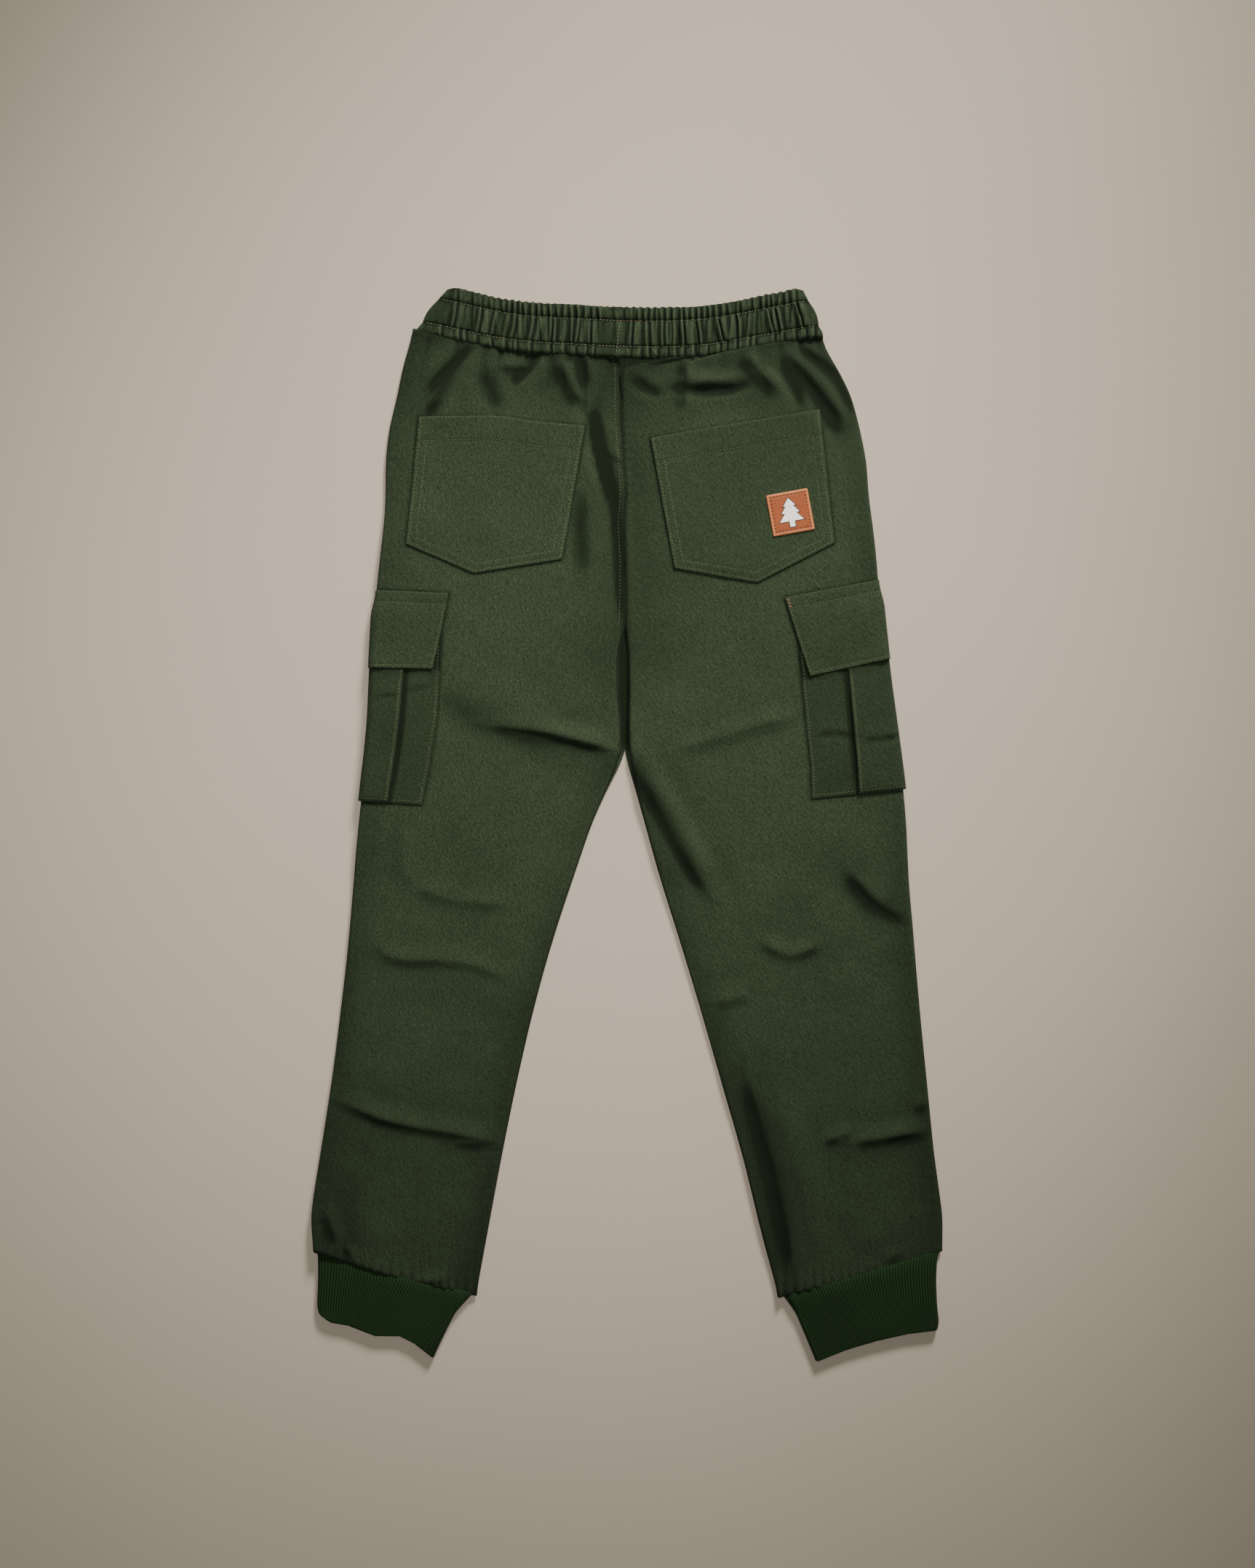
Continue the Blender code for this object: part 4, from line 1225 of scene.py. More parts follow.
def back_panel(side):
    node = f"back_panel_{side}"
    plan = leg_plan(side, node, LEG_CELL)
    seed = seed_of("back_panel", side)
    relief, folds = back_relief(plan, seed)
    top = cloth_heights(node, plan, True) + relief + HEM_BLOUSE * np.exp(-plan.to_hem / 9)
    for height, rows, across, number in BACK_NOISE:
        top += height * noise(plan.x.shape, rows, across, seed + number)
    if side == "left":
        # The seam's turned-in cloth lies under this side, between the seam and its row of stitches.
        top += 0.55 * plan.level * (1 - soft_step(plan.into, 5.5, 7.5))
        top -= 0.3 * plan.level * bell(plan.into - TURNED_IN, 0.9)
    top -= 0.9 * plan.level * bell(plan.into, 1.3)
    outer_z, inner_z = (blur(edge_z, 4, 0)[:, None] for edge_z in (plan.outer_z, plan.inner_z))
    edge = outer_z * (1 - plan.share) + inner_z * plan.share
    edge = np.minimum(edge, middle_height(plan.x, plan.y)) + SEAM_SPLIT
    z = edge + (np.maximum(top, edge + 1.2) - edge) * lift_of(plan, 1 - plan.level)
    return np.stack([plan.x, plan.y, z], axis=-1), *back_shades(side, plan, relief, folds)


def front_panel(side):
    node = f"front_panel_{side}"
    plan = leg_plan(side, node, FRONT_CELL)
    seed = seed_of("front_panel", side)
    hollow = np.clip(crease_field(plan.x, plan.y, FRONT_CREASES, seed)[0], -0.2, 2.4)
    hollow += 0.25 * (1 + noise(plan.x.shape, 8, 6, seed + 10).clip(-1, 2))
    hollow += 0.2 * ripples(plan.x, plan.to_hem, 12, 12, seed + 20)
    low = cloth_heights(node, plan, False) + np.maximum(hollow, 0)
    edge = middle_height(plan.x, plan.y) - SEAM_SPLIT
    z = edge - (edge - low) * lift_of(plan, plan.on_leg)
    # Painted shade on the front cloth seen down in the open centre seam
    within = soft_step(plan.inner_y, 60, 78) * (1 - soft_step(plan.inner_y, 186, 200))
    painted_shade = within * soft_step(SLIT_FLOOR - plan.into, -3, 3)
    return np.stack([plan.x, plan.y, z], axis=-1), 0.3 * bell(plan.out - 2, 3), painted_shade


# ---- Cargo pockets and flaps


def side_line(side):
    """X of a leg's side edge for any Y, from its cloth."""
    edge = grids[f"back_panel_{side}"][:, 0]
    order = np.argsort(edge[:, 1])
    return lambda y: np.interp(y, edge[order, 1], edge[order, 0])


def wrap_grid(side, rows_table, share, section):
    """A grid wrapped round a side edge.

    `section(share, flat, pleat)` gives the points (distance, height) of the half on the back, from the
    edge on the leg to the side edge. `flat` is how far that edge lies from where the side turns over.
    A row of the grid's values is x, y, height over the cloth and share of it that points up.
    """
    # A flap's rows have no pleat.
    side_y, edge_x, edge_y, pleat = (columns(rows_table, share) + [np.zeros_like(share)])[:4]
    edge_of = side_line(side)
    inward = -SIDES[side]
    turns = np.radians(range(75, -76, -15))
    rows = []
    for row, part_down in enumerate(share):
        start_x = edge_of(side_y[row])
        flat = abs(edge_x[row] - start_x) - EDGE_ROUND
        half = section(part_down, flat, pleat[row] - EDGE_ROUND)
        back = [(distance, height, 1.0, 0.0) for distance, height in half]
        over = [(0, half[-1][1], math.sin(turn), math.cos(turn)) for turn in turns]
        front = [(distance, height, -1.0, 0.0) for distance, height in reversed(half)]
        row_points = []
        for distance, height, up, out in back + over + front:
            x = start_x + inward * (EDGE_ROUND + distance - (EDGE_ROUND + height) * out)
            y = side_y[row] + (edge_y[row] - side_y[row]) * (x - start_x) / (edge_x[row] - start_x)
            row_points.append((x, y, height, up))
        rows.append(row_points)
    return np.array(rows)


def laid_on_leg(wrap):
    """Gives a wrap its heights over the back cloth and under the front cloth."""
    x, y, height, up = np.moveaxis(wrap, -1, 0)
    middle = LEG_HEIGHT / 2 + STACK
    over = filled(heights(back_tree, x, y, True))
    under = filled(heights(front_tree, x, y, False))
    turning = np.abs(up) < 1
    for field in (over, under):
        field[:] = filled(np.where(turning, np.nan, field))
    over = np.maximum(blurred(over, 3, 3), over - 0.1)
    under = np.maximum(np.minimum(blurred(under, 3, 3), under + 0.1), STACK)
    reach = np.where(up >= 0, over - middle, middle - under)
    return np.stack([x, y, np.maximum(middle + (reach + height) * up, 0.05)], axis=-1)


def pocket_section(side):
    gape_table = PLEAT_GAPE[side]

    def section(share, flat, pleat):
        gape = columns(gape_table, share)[0]
        body = np.linspace(flat, pleat + 3.5, BODY_COLUMNS)
        points = [(distance, BODY_LEVEL) for distance in body]
        for off, level in PLEAT_FOLD:
            lifted = gape * soft_step(level, 1.2, 2.9) * math.exp(-abs(off) / 9)
            points.append((pleat + off, level + lifted))
        for distance in np.linspace(pleat - 6.5, 0, TOP_COLUMNS):
            points.append((distance, PLEAT_LEVEL + gape * math.exp(-(pleat - distance) / 9)))
        return points

    return section


def cargo_pocket(side):
    share = np.linspace(0, 1, CARGO_ROWS)
    wrap = wrap_grid(side, POCKET_ROWS[side], share, pocket_section(side))
    seed = seed_of("cargo_pocket", side)
    down = share[:, None]
    x, y = wrap[..., 0], wrap[..., 1]
    puff = 0.5 * (noise(x.shape, 12, 9, seed).clip(-1.2, 2) + 1.2) * np.sin(np.pi * down) ** 0.5
    for height, width, line in POCKET_CREASES[side]:
        puff += 1.6 * crease_field(x, y, ((height, width, 5.0, line),), seed)[0]
    from_edge = np.abs(x - x[:, :1])
    puff += 0.22 * ripples(CARGO_DEPTH * down, from_edge, 7.0, 5, seed + 1) * soft_step(from_edge, 0.5, 3)
    wrap[..., 2] += np.maximum(puff * soft_step(from_edge, 0, 12), -0.1)
    grid = laid_on_leg(wrap)
    # The bottom is sewn down flat.
    wrap[..., 2] = 0.9
    base = laid_on_leg(wrap)[..., 2]
    pressed = soft_step(CARGO_DEPTH * (1 - down), 0.0, 5.0)
    grid[..., 2] = base + (grid[..., 2] - base) * (0.55 + 0.45 * pressed)
    return grid


def pocket_shade(side, pocket):
    """Painted shade of a cargo pocket: beside its pleat's folds and right under its flap."""
    across = pocket.shape[1]
    shade = np.full(pocket.shape[:2], CARGO_SHADE)
    share = np.linspace(0, 1, len(pocket))
    open_part = np.sin(np.pi * np.clip((share - 0.15) / 0.85, 0, 1))[:, None] ** 0.5
    # Painted shade on the body beside the fold, and full painted shade inside the fold
    for order in (np.arange(across), np.arange(across)[::-1]):
        body_columns = order[:BODY_COLUMNS]
        body = pocket[:, body_columns]
        away = np.linalg.norm(body - body[:, -1:], axis=2)
        shade[:, body_columns] += 0.8 * open_part * bell(away, 2.4)
        shade[:, order[BODY_COLUMNS : FOLD_TOP_COLUMN - 3]] = 1.0
    # Painted shadow right under the flap's lower edge
    side_y, edge_x, edge_y = FLAP_ROWS[side][-1][1:]
    start_x = side_line(side)(side_y)
    flap_y = side_y + (edge_y - side_y) * (pocket[..., 0] - start_x) / (edge_x - start_x)
    return shade + 0.7 * np.exp(-np.maximum(flap_y - pocket[..., 1], 0) / 3.5)


def flap_section(side):
    pleat_reach = FLAP_PLEAT_REACH[side]

    def section(share, flat, _):
        rise = soft_step(share, 0.02, 0.36)
        points = []
        for distance in np.linspace(flat, 0, FLAP_ACROSS):
            over_pleat = 1 - soft_step(distance, pleat_reach, pleat_reach + 14)
            height = 1.0 + rise * (1.35 + (FLAP_LEVEL - 2.35) * over_pleat)
            points.append((distance, height))
        return points

    return section


def cargo_flap(side):
    share = np.linspace(0, 1, FLAP_COUNT)
    wrap = wrap_grid(side, FLAP_ROWS[side], share, flap_section(side))
    seed = seed_of("cargo_flap", side)
    across = np.abs(wrap[..., 0] - wrap[:, :1, 0])
    depth = np.broadcast_to(FLAP_DEPTH * share[:, None], across.shape)
    to_bottom = FLAP_DEPTH - depth
    puff = 0.18 * (noise(depth.shape, 10, 9, seed).clip(-1.5, 2) + 1.5)
    puff += 0.5 * bell(depth - 5.0, 4.5)  # the turned-in cloth over the top row of stitches
    puff -= 0.28 * bell(depth - 11.2, 0.9)
    puff -= 0.2 * bell(to_bottom - 2.6, 0.8)
    puff += 0.25 * ripples(across, to_bottom, 8.0, 5, seed + 1)
    puff += 0.6 * soft_step(to_bottom, 14, 0) * soft_step(across, 30, 0)
    # The lower corner at the side stands off the pocket.
    to_side = across.max(axis=1, keepdims=True) - across
    puff += 2.6 * soft_step(to_bottom, 26, 0) * bell(to_side, 13)
    wrap[..., 2] += puff
    wear_and_highlight = 0.35 * bell(to_bottom, 1.6) + 0.3 * bell(across, 1.5) + 0.2 * bell(depth, 1.6)
    return laid_on_leg(wrap), wear_and_highlight


# ---- Back pockets and badge


def back_pocket(side):
    over, down = (np.linspace(0, 1, count) for count in PATCH_COUNTS)
    top, bottom = (
        np.stack([np.interp(over, np.linspace(0, 1, len(edge)), axis) for axis in zip(*edge)], axis=1)
        for edge in BACK_POCKET[side]
    )
    top[1:-1] = blur(top, 5, 0)[1:-1]
    plan = top + (bottom - top) * down[:, None, None]
    x, y = plan[..., 0], plan[..., 1]
    depth = np.linalg.norm(plan - plan[:1], axis=2)
    to_bottom = depth[-1:] - depth
    first, last = (np.linalg.norm(plan - plan[:, end], axis=2) for end in (np.s_[:1], np.s_[-1:]))
    to_side = np.minimum(first, last)
    sides = np.minimum(to_side, to_bottom)
    seed = seed_of("back_pocket", side)
    base = filled(heights(back_tree, x, y, True))
    base = np.maximum(blurred(base, 4, 4), blurred(base, 1.2, 1.2))
    level = 1.15 + 0.3 * (1 - soft_step(sides, 8.0, 9.5))
    level += 0.5 * (1 - soft_step(depth, POCKET_HEM - 1, POCKET_HEM + 1))
    for away, width, sunk in (
        (depth - POCKET_HEM, 0.9, 0.22),
        (sides - SEWN_TURN, 0.9, 0.2),
        (sides - SEWN_EDGE, 0.8, 0.2),
    ):
        level -= sunk * bell(away, width)
    level += 0.35 * soft_step(sides, 0, 14) * (noise(x.shape, 14, 14, seed).clip(-1.2, 2) + 1.2)
    level += 0.2 * ripples(y, to_side, 7.5, 7, seed + 1) * soft_step(sides, 0.5, 3)
    level += 0.2 * ripples(x, to_bottom, 7.5, 7, seed + 2) * soft_step(sides, 0.5, 3)
    level += 0.25 * ripples(x, depth, 9.0, 9, seed + 3)
    # The mouth gapes a little in its middle.
    level += np.sin(np.pi * over) * np.exp(-depth / 9)
    wear_and_highlight = 0.28 * bell(sides, 1.5) + 0.25 * bell(depth, 1.6) + 0.1 * bell(depth - POCKET_HEM - 2, 2.0)
    return np.stack([x, y, base + level], axis=-1), wear_and_highlight


def badge_frame():
    """Middle, direction along the badge and across it, all in plan, from its CAD solid."""
    points, _, _ = node_mesh("badge")
    centre = (points.min(axis=0) + points.max(axis=0))[:2] / 2
    top = points[np.argmax(points[:, 1])][:2] - centre
    right = points[np.argmax(points[:, 0])][:2] - centre
    diagonal = (right + np.array([top[1], -top[0]])) / 2
    angle = math.atan2(diagonal[1], diagonal[0]) + math.pi / 4
    way = np.array([math.cos(angle), math.sin(angle)])
    return centre, way, np.array([-way[1], way[0]])


def badge_grid(tree):
    """The badge's face, its worn edge, the painted shade of its holes and the places of the holes along a
    side.
    """
    centre, way, up = badge_frame()
    half = BADGE_SIDE / 2
    ends = np.linspace(-half, half, int(BADGE_SIDE / BADGE_CELL) + 1)
    u, v = np.meshgrid(ends, ends[::-1])
    corner = soft_step(np.abs(u), half - BADGE_CORNER, half) * soft_step(np.abs(v), half - BADGE_CORNER, half)
    u, v = u - np.sign(u) * BADGE_CORNER / 2 * corner, v - np.sign(v) * BADGE_CORNER / 2 * corner
    x = centre[0] + u * way[0] + v * up[0]
    y = centre[1] + u * way[1] + v * up[1]
    base = blurred(filled(heights(tree, x, y, True)), 14, 14)
    edge = half - np.maximum(np.abs(u), np.abs(v))
    pits = np.zeros_like(u)
    row = np.linspace(-half + HOLE_INSET, half - HOLE_INSET, BADGE_HOLES)
    for place in row:
        for at_u, at_v in ((place, row[0]), (place, row[-1]), (row[0], place), (row[-1], place)):
            pits = np.maximum(pits, bell(np.hypot(u - at_u, v - at_v), HOLE_SIZE))
    level = BADGE_WALL + 0.5 - 0.5 * (1 - turned(edge, 1.2)) - 0.9 * pits
    level -= 0.15 * bell(edge - HOLE_INSET, 0.9)
    level += 0.5 * bell(u - half, 10) * bell(v - half, 14)
    wear_and_highlight = 1 - soft_step(edge, 1.4, 2.4)
    return np.stack([x, y, base + level], axis=-1), wear_and_highlight, soft_step(pits, 0.25, 0.7), row


def badge_place(grid, u, v):
    """Point on the badge's face at a place of its own plan."""
    half = BADGE_SIDE / 2
    cells = grid.shape[0] - 1
    row, column = (np.clip(reach / BADGE_SIDE * cells, 0, cells - 1e-6) for reach in (half - v, u + half))
    down, over = row % 1, column % 1
    corners = grid[int(row) : int(row) + 2, int(column) : int(column) + 2]
    upper, lower = corners[:, 0] * (1 - over) + corners[:, 1] * over
    return upper * (1 - down) + lower * down


def tree_outline(grow):
    """The tree's closed outline in millimetres, grown outward by an amount."""
    right = np.array(TREE) * TREE_HEIGHT
    left = right[-2:0:-1] * (-1, 1)
    loop = np.concatenate([right, left])
    before, after = np.roll(loop, 1, axis=0), np.roll(loop, -1, axis=0)
    grown = []
    for previous, point, following in zip(before, loop, after):
        normals = [np.array([-way[1], way[0]]) for way in (point - previous, following - point)]
        normals = [normal / np.linalg.norm(normal) for normal in normals]
        mean = normals[0] + normals[1]
        mean /= np.linalg.norm(mean)
        grown.append(point + mean * grow / max(mean @ normals[0], 0.45))
    return np.array(grown)


def motif(name, badge, grow, low, high, look):
    """A thin plate with the tree's outline on the badge's face."""
    loop = tree_outline(grow)
    count = len(loop)
    flat = np.array([badge_place(badge, u, v) for u, v in loop])
    points = np.concatenate([flat + (0, 0, low), flat + (0, 0, high)])
    faces = [tuple(range(count, 2 * count))[::-1], tuple(range(count))]
    for here in range(count):
        after = (here + 1) % count
        faces.append((here, here + count, after + count, after))
    made = mesh_piece(name, points, faces, look)
    for polygon in made.data.polygons:
        polygon.use_smooth = False
    return made


# ---- Waistband


def band_plan(name):
    """Plan of the band: x, y, depth in millimetres, share of the depth and distances to both ends."""
    share = np.linspace(0, 1, BAND_ROWS[name])[:, None]
    left, right = (top + (low - top) * share for top, low in zip(BAND_TOP_ENDS, BAND_LOW_ENDS))
    width = right - left
    distance = row_distances(width, int(BAND_WIDTH / BAND_CELL[name]))
    x = left + distance
    edges = []
    for ends, margin, direction in ((BAND_TOP_ENDS, 1, 1), (BAND_LOW_ENDS, 2.5, -1)):
        probe = np.linspace(ends[0] + margin, ends[1] - margin, 80)
        found = blur(extremes("waistband_back", 0, probe, direction)[:, 0], 2.5, 0)
        edges.append(np.interp(ends[0] + (ends[1] - ends[0]) * distance / width, probe, found))
    top_y, low_y = edges
    y = top_y * (1 - share) + low_y * share
    upper, lower = STITCH_SHARES
    bulge = np.sin(np.pi * channel(share, upper, lower)) + 0.5 * np.sin(np.pi * channel(share, lower, 1))
    x = x + BAND_BULGE * bulge * (bell(width - distance, 25) - bell(distance, 25))
    rim = 1 - soft_step(share, 0, upper)
    from_end = np.minimum(distance, width - distance)
    waves = 0.6 * ripples(x, 0, 6.6, 1, BAND_EDGE_SEED)
    waves += 0.4 * noise(x.shape, 40, 14, BAND_EDGE_SEED + 1).clip(-2, 2)
    y = y + rim * (waves * soft_step(from_end, 4, 20) - 2.5 * bell(from_end, 5))
    return x, y, (top_y - low_y) * share, share, distance, width - distance


def channel(share, start, end):
    """Place in one of the band's channels, from 0 to 1, and 0 outside it at either end."""
    return np.clip((share - start) / (end - start), 0, 1)


def named_pleats(x, share, pleats, draw):
    """Height of the pleats between the two rows of stitches."""
    upper, lower = STITCH_SHARES
    middle = channel(share, upper, lower)
    relief = np.zeros_like(x)
    for at_top, at_low, strength in pleats:
        sway = draw.uniform(-0.7, 0.7) * np.sin(np.pi * middle)
        off = x - (at_top + (at_low - at_top) * middle) - sway
        turn_side = 1 if draw.random() < 0.6 else -1
        fade = (0.25 + 0.75 * between_rows(share)) * strength
        relief += fade * (1.9 * bell(off, 1.15) - 2.8 * bell(off - 2.0 * turn_side, 0.85))
        relief -= fade * (0.7 * bell(off + 3.6 * turn_side, 1.8) - 0.8 * bell(off - 6.5 * turn_side, 3.2))
    return relief


def soft_pleats(x, share, draw):
    """Height of the softer pleats between the named ones."""
    middle = channel(share, *STITCH_SHARES)
    relief = np.zeros_like(x)
    for start, end, pitch in SOFT_PLEATS:
        at = start + draw.uniform(0, pitch)
        while at < end:
            off = x - at - draw.uniform(-2.5, 2.5) * middle
            reach = 1 - soft_step(middle, draw.uniform(0.25, 0.6), 1.0) * draw.uniform(0.3, 1.0)
            depth = draw.uniform(0.35, 1.0) * between_rows(share) * reach
            relief += depth * (0.7 * bell(off - 2.4, 1.5) - 1.1 * bell(off, 1.1))
            at += pitch * draw.uniform(0.7, 1.4)
    return relief


def upper_gathers(x, share, gathers, draw):
    """Height of the gathers above the upper row of stitches."""
    top, middle = channel(share, 0, STITCH_SHARES[0]), channel(share, *STITCH_SHARES)
    within = above_rows(share)
    reach = (0.35 + 0.65 * top) * (within + 0.35 * (1 - within) * (1 - middle))
    relief = np.zeros_like(x)
    for start, end, pitch, strength in gathers:
        at = start + draw.uniform(0, pitch / 2)
        while at < end:
            off = x - at - draw.uniform(-1.2, 1.2) * (1 - top)
            depth = strength * draw.uniform(0.6, 1.1) * reach
            relief += depth * (1.1 * bell(off - 2.5, 1.1) - 2.6 * bell(off, 0.7 + 0.9 * top))
            at += pitch * draw.uniform(0.75, 1.25)
    return relief


def lower_gathers(x, share, places, draw):
    """Height of the gathers under the lower row of stitches."""
    low, middle = channel(share, STITCH_SHARES[1], 1), channel(share, *STITCH_SHARES)
    within = below_rows(share)
    relief = np.zeros_like(x)
    for at in places:
        off = x - at - draw.uniform(-1, 1) * low
        depth = draw.uniform(0.6, 1.1) * (within + 0.3 * (1 - within) * middle**3)
        relief += depth * (1.2 * bell(off, 1.5) - 1.7 * bell(off - 2.7, 1.1))
    return relief


def above_rows(share):
    return 1 - soft_step(share, STITCH_SHARES[0] - 0.03, STITCH_SHARES[0] + 0.04)


def below_rows(share):
    return soft_step(share, STITCH_SHARES[1] - 0.04, STITCH_SHARES[1] + 0.03)


def between_rows(share):
    return (1 - above_rows(share)) * (1 - below_rows(share))


def band_relief(x, share, pleats, top_gathers, low_gathers, seed):
    """Height of the band's puffs, pleats and gathers. The parts share one row of random draws."""
    draw = np.random.default_rng(seed)
    upper, lower = STITCH_SHARES
    relief = 0.8 * np.sin(np.pi * channel(share, 0, upper))
    relief = relief + 1.1 * np.sin(np.pi * channel(share, upper, lower)) ** 0.7
    relief = relief + 0.6 * np.sin(np.pi * channel(share, lower, 1))
    relief = relief + named_pleats(x, share, pleats, draw)
    relief += soft_pleats(x, share, draw)
    relief += upper_gathers(x, share, top_gathers, draw)
    relief += lower_gathers(x, share, low_gathers, draw)
    relief += 0.12 * noise(x.shape, 5, 2.2, seed + 1) + 0.3 * noise(x.shape, 9, 9, seed + 2)
    for line in STITCH_SHARES:
        relief -= 0.75 * bell(share - line, 0.028)
    return relief


def band_grid(name):
    x, y, depth, share, first, last = band_plan(name)
    middle = BAND_HEIGHT / 2
    lift = turned(first, EDGE_ROUND) * turned(last, EDGE_ROUND)
    lift *= 0.55 + 0.45 * turned(depth[-1:] - depth, 3.0)
    lift *= 0.72 + 0.28 * turned(depth, 3.0)
    end_fade = np.minimum(1, np.minimum(first, last) / 12)
    if name == "front":
        relief = band_relief(x, share, FRONT_PLEATS, FRONT_TOP_GATHERS, FRONT_LOW_GATHERS, BAND_SEEDS[name])
        outer = np.minimum(middle - 0.6 + relief * end_fade, middle)
        return np.stack([x, y, middle - SEAM_SPLIT - (outer - SEAM_SPLIT) * lift], axis=-1), None, None
    relief = band_relief(x, share, PLEATS, TOP_GATHERS, LOW_GATHERS, BAND_SEEDS[name])
    under_top = share > STITCH_SHARES[0]
    relief -= 0.5 * bell(x - BAND_JOIN, 0.8) * under_top
    relief += 0.45 * (1 - soft_step(np.abs(x - BAND_JOIN - 6), 5.5, 7.0)) * under_top
    outer = middle - 0.6 + relief * end_fade
    above = relief - blurred(relief, 5, 7)
    # Painted highlight on the raised folds and fading along the top edge; painted shade over the whole band,
    # deepest in its hollows and least on its ridges
    wear_and_highlight = 0.5 * np.clip(above - 0.3, 0, 1) + 0.3 * bell(depth, 1.5)
    painted_shade = 0.62 + np.clip(-above / 0.7, 0, 1) - 0.55 * np.clip(above / 0.7, 0, 1)
    return np.stack([x, y, middle + SEAM_SPLIT + (outer - SEAM_SPLIT) * lift], axis=-1), wear_and_highlight, painted_shade


# ---- Cuffs


def cuff_loop(width, reach):
    """Section of a flattened tube, from the back's inner end round: (distance, how far up from -1 to 1)."""
    flat = np.append(np.arange(0, width - 2 * reach, CUFF_CELL), width - 2 * reach)
    turns = np.radians(np.linspace(90, -90, 19))
    loop = [(width - reach + reach * math.cos(turn), math.sin(turn)) for turn in turns]
    loop += [(reach + distance, -1.0) for distance in flat[::-1][1:-1]]
    loop += [(reach - reach * math.cos(turn), math.sin(turn)) for turn in turns[::-1]]
    loop += [(reach + distance, 1.0) for distance in flat[1:]]
    return np.array(loop)


def cuff_grid(side):
    """A flattened ribbed tube, with its rib field from 0 to 1."""
    share = np.linspace(0, 1, CUFF_DOWN)
    out_x, out_y, in_x, in_y = (blur(values, 1.5, 0)[:, None] for values in columns(CUFF_ROWS[side], share))
    reach = CUFF_HEIGHT / 2
    panel = grids[f"back_panel_{side}"][-1]
    order = np.argsort(panel[:, 0])
    mean = float(np.abs(out_x - in_x).mean())
    loop = cuff_loop(mean, reach)
    around = lengths_along(loop * (1, reach))
    ribs = round(around[-1] / RIB_PITCH)
    rib = 0.5 + 0.5 * np.cos(TURN * ribs * around / around[-1])
    part, up = loop[None, :, 0] / mean, loop[None, :, 1]
    x = out_x + (in_x - out_x) * part
    y = out_y + (in_y - out_y) * part
    seam = np.interp(x[0], panel[order, 0], panel[order, 1]) + CUFF_UNDER
    y = y + (seam - y[0])[None, :] * np.clip(1 - share / 0.7, 0, 1)[:, None]
    y = y + columns(CUFF_WAVES[side], part[0])[0] * (share**2.2)[:, None]
    seed = seed_of("cuff", side)
    down = share[:, None]
    swell = 0.35 * noise(x.shape, 9, 26, seed) * np.sin(np.pi * down)
    swell[:, -1] = swell[:, 0]
    depth = CUFF_DEPTH * down
    swell += 0.8 * ripples(x, depth, 11.0, 9, seed + 1) * np.abs(up)
    pressed = 0.2 + 0.8 * turned(depth, 12.0)
    z = reach + (reach * pressed + RIB_HEIGHT * (rib - 0.5) + swell) * up
    grid = np.stack([x, y, np.maximum(z, 0.02)], axis=-1)
    grid[:, -1] = grid[:, 0]
    return grid, np.broadcast_to(rib, x.shape)


# ---- Making the pieces

grids = {}

print("legs")
for side in SIDES:
    for face, panel, flip in (("back", back_panel, SIDES[side] > 0), ("front", front_panel, SIDES[side] < 0)):
        grid, fade_and_highlight, folds = panel(side)
        grids[f"{face}_panel_{side}"] = grid
        piece = shell(f"{face}_cloth_{side}", grid, CLOTH, twill, TWILL_LEAN[side], fade_and_highlight, folds, flip=flip)
        keep(piece, "twill", f"{face}_panel_{side}")

back_tree = tree_of_grids(grids["back_panel_left"], grids["back_panel_right"])
front_tree = tree_of_grids(grids["front_panel_left"], grids["front_panel_right"])

print("pockets")
for side in SIDES:
    pocket = cargo_pocket(side)
    pocket_wear = 0.3 * bell(np.abs(pocket[..., 0] - pocket[:, :1, 0]), 1.6)
    pocket_wear[:, FOLD_TOP_COLUMN] = pocket_wear[:, -1 - FOLD_TOP_COLUMN] = 0.5
    flap, flap_wear = cargo_flap(side)
    flap_shade = np.full(flap_wear.shape, FLAP_SHADE)
    patch, patch_wear = back_pocket(side)
    patch_shade = np.full(patch_wear.shape, PATCH_SHADE[side])
    wraps_left = SIDES[side] < 0
    for kind, grid, wall, fade_and_highlight, shade, flip in (
        ("cargo_pocket", pocket, CARGO_CLOTH, pocket_wear, pocket_shade(side, pocket), wraps_left),
        ("cargo_flap", flap, TRIM_CLOTH, flap_wear, flap_shade, wraps_left),
        ("back_pocket", patch, TRIM_CLOTH, patch_wear, patch_shade, False),
    ):
        grids[f"{kind}_{side}"] = grid
        lean = TWILL_LEAN[side] + LEAN_OFFSET[kind]
        piece = shell(f"{kind}_cloth_{side}", grid, wall, twill, lean, fade_and_highlight, shade, flip=flip)
        keep(piece, "twill", f"{kind}_{side}")

print("badge")
badge, edge_wear, pit, hole_row = badge_grid(tree_of_grids(grids["back_pocket_right"]))
badge_piece = shell("badge_leather", badge, BADGE_WALL, leather, 0, edge_wear, rim_steps=4)
pits = np.zeros(len(badge_piece.data.vertices), np.float32)
pits[: pit.size] = pit.reshape(-1)
badge_piece.data.attributes.new("pit", "FLOAT", "POINT").data.foreach_set("value", pits)
keep(badge_piece, "leather", "badge")
keep(motif("badge_motif_line", badge, TREE_OUTLINE, -0.3, 0.10, paint_line), "leather")
keep(motif("badge_motif", badge, 0.0, -0.3, 0.18, paint), "leather")

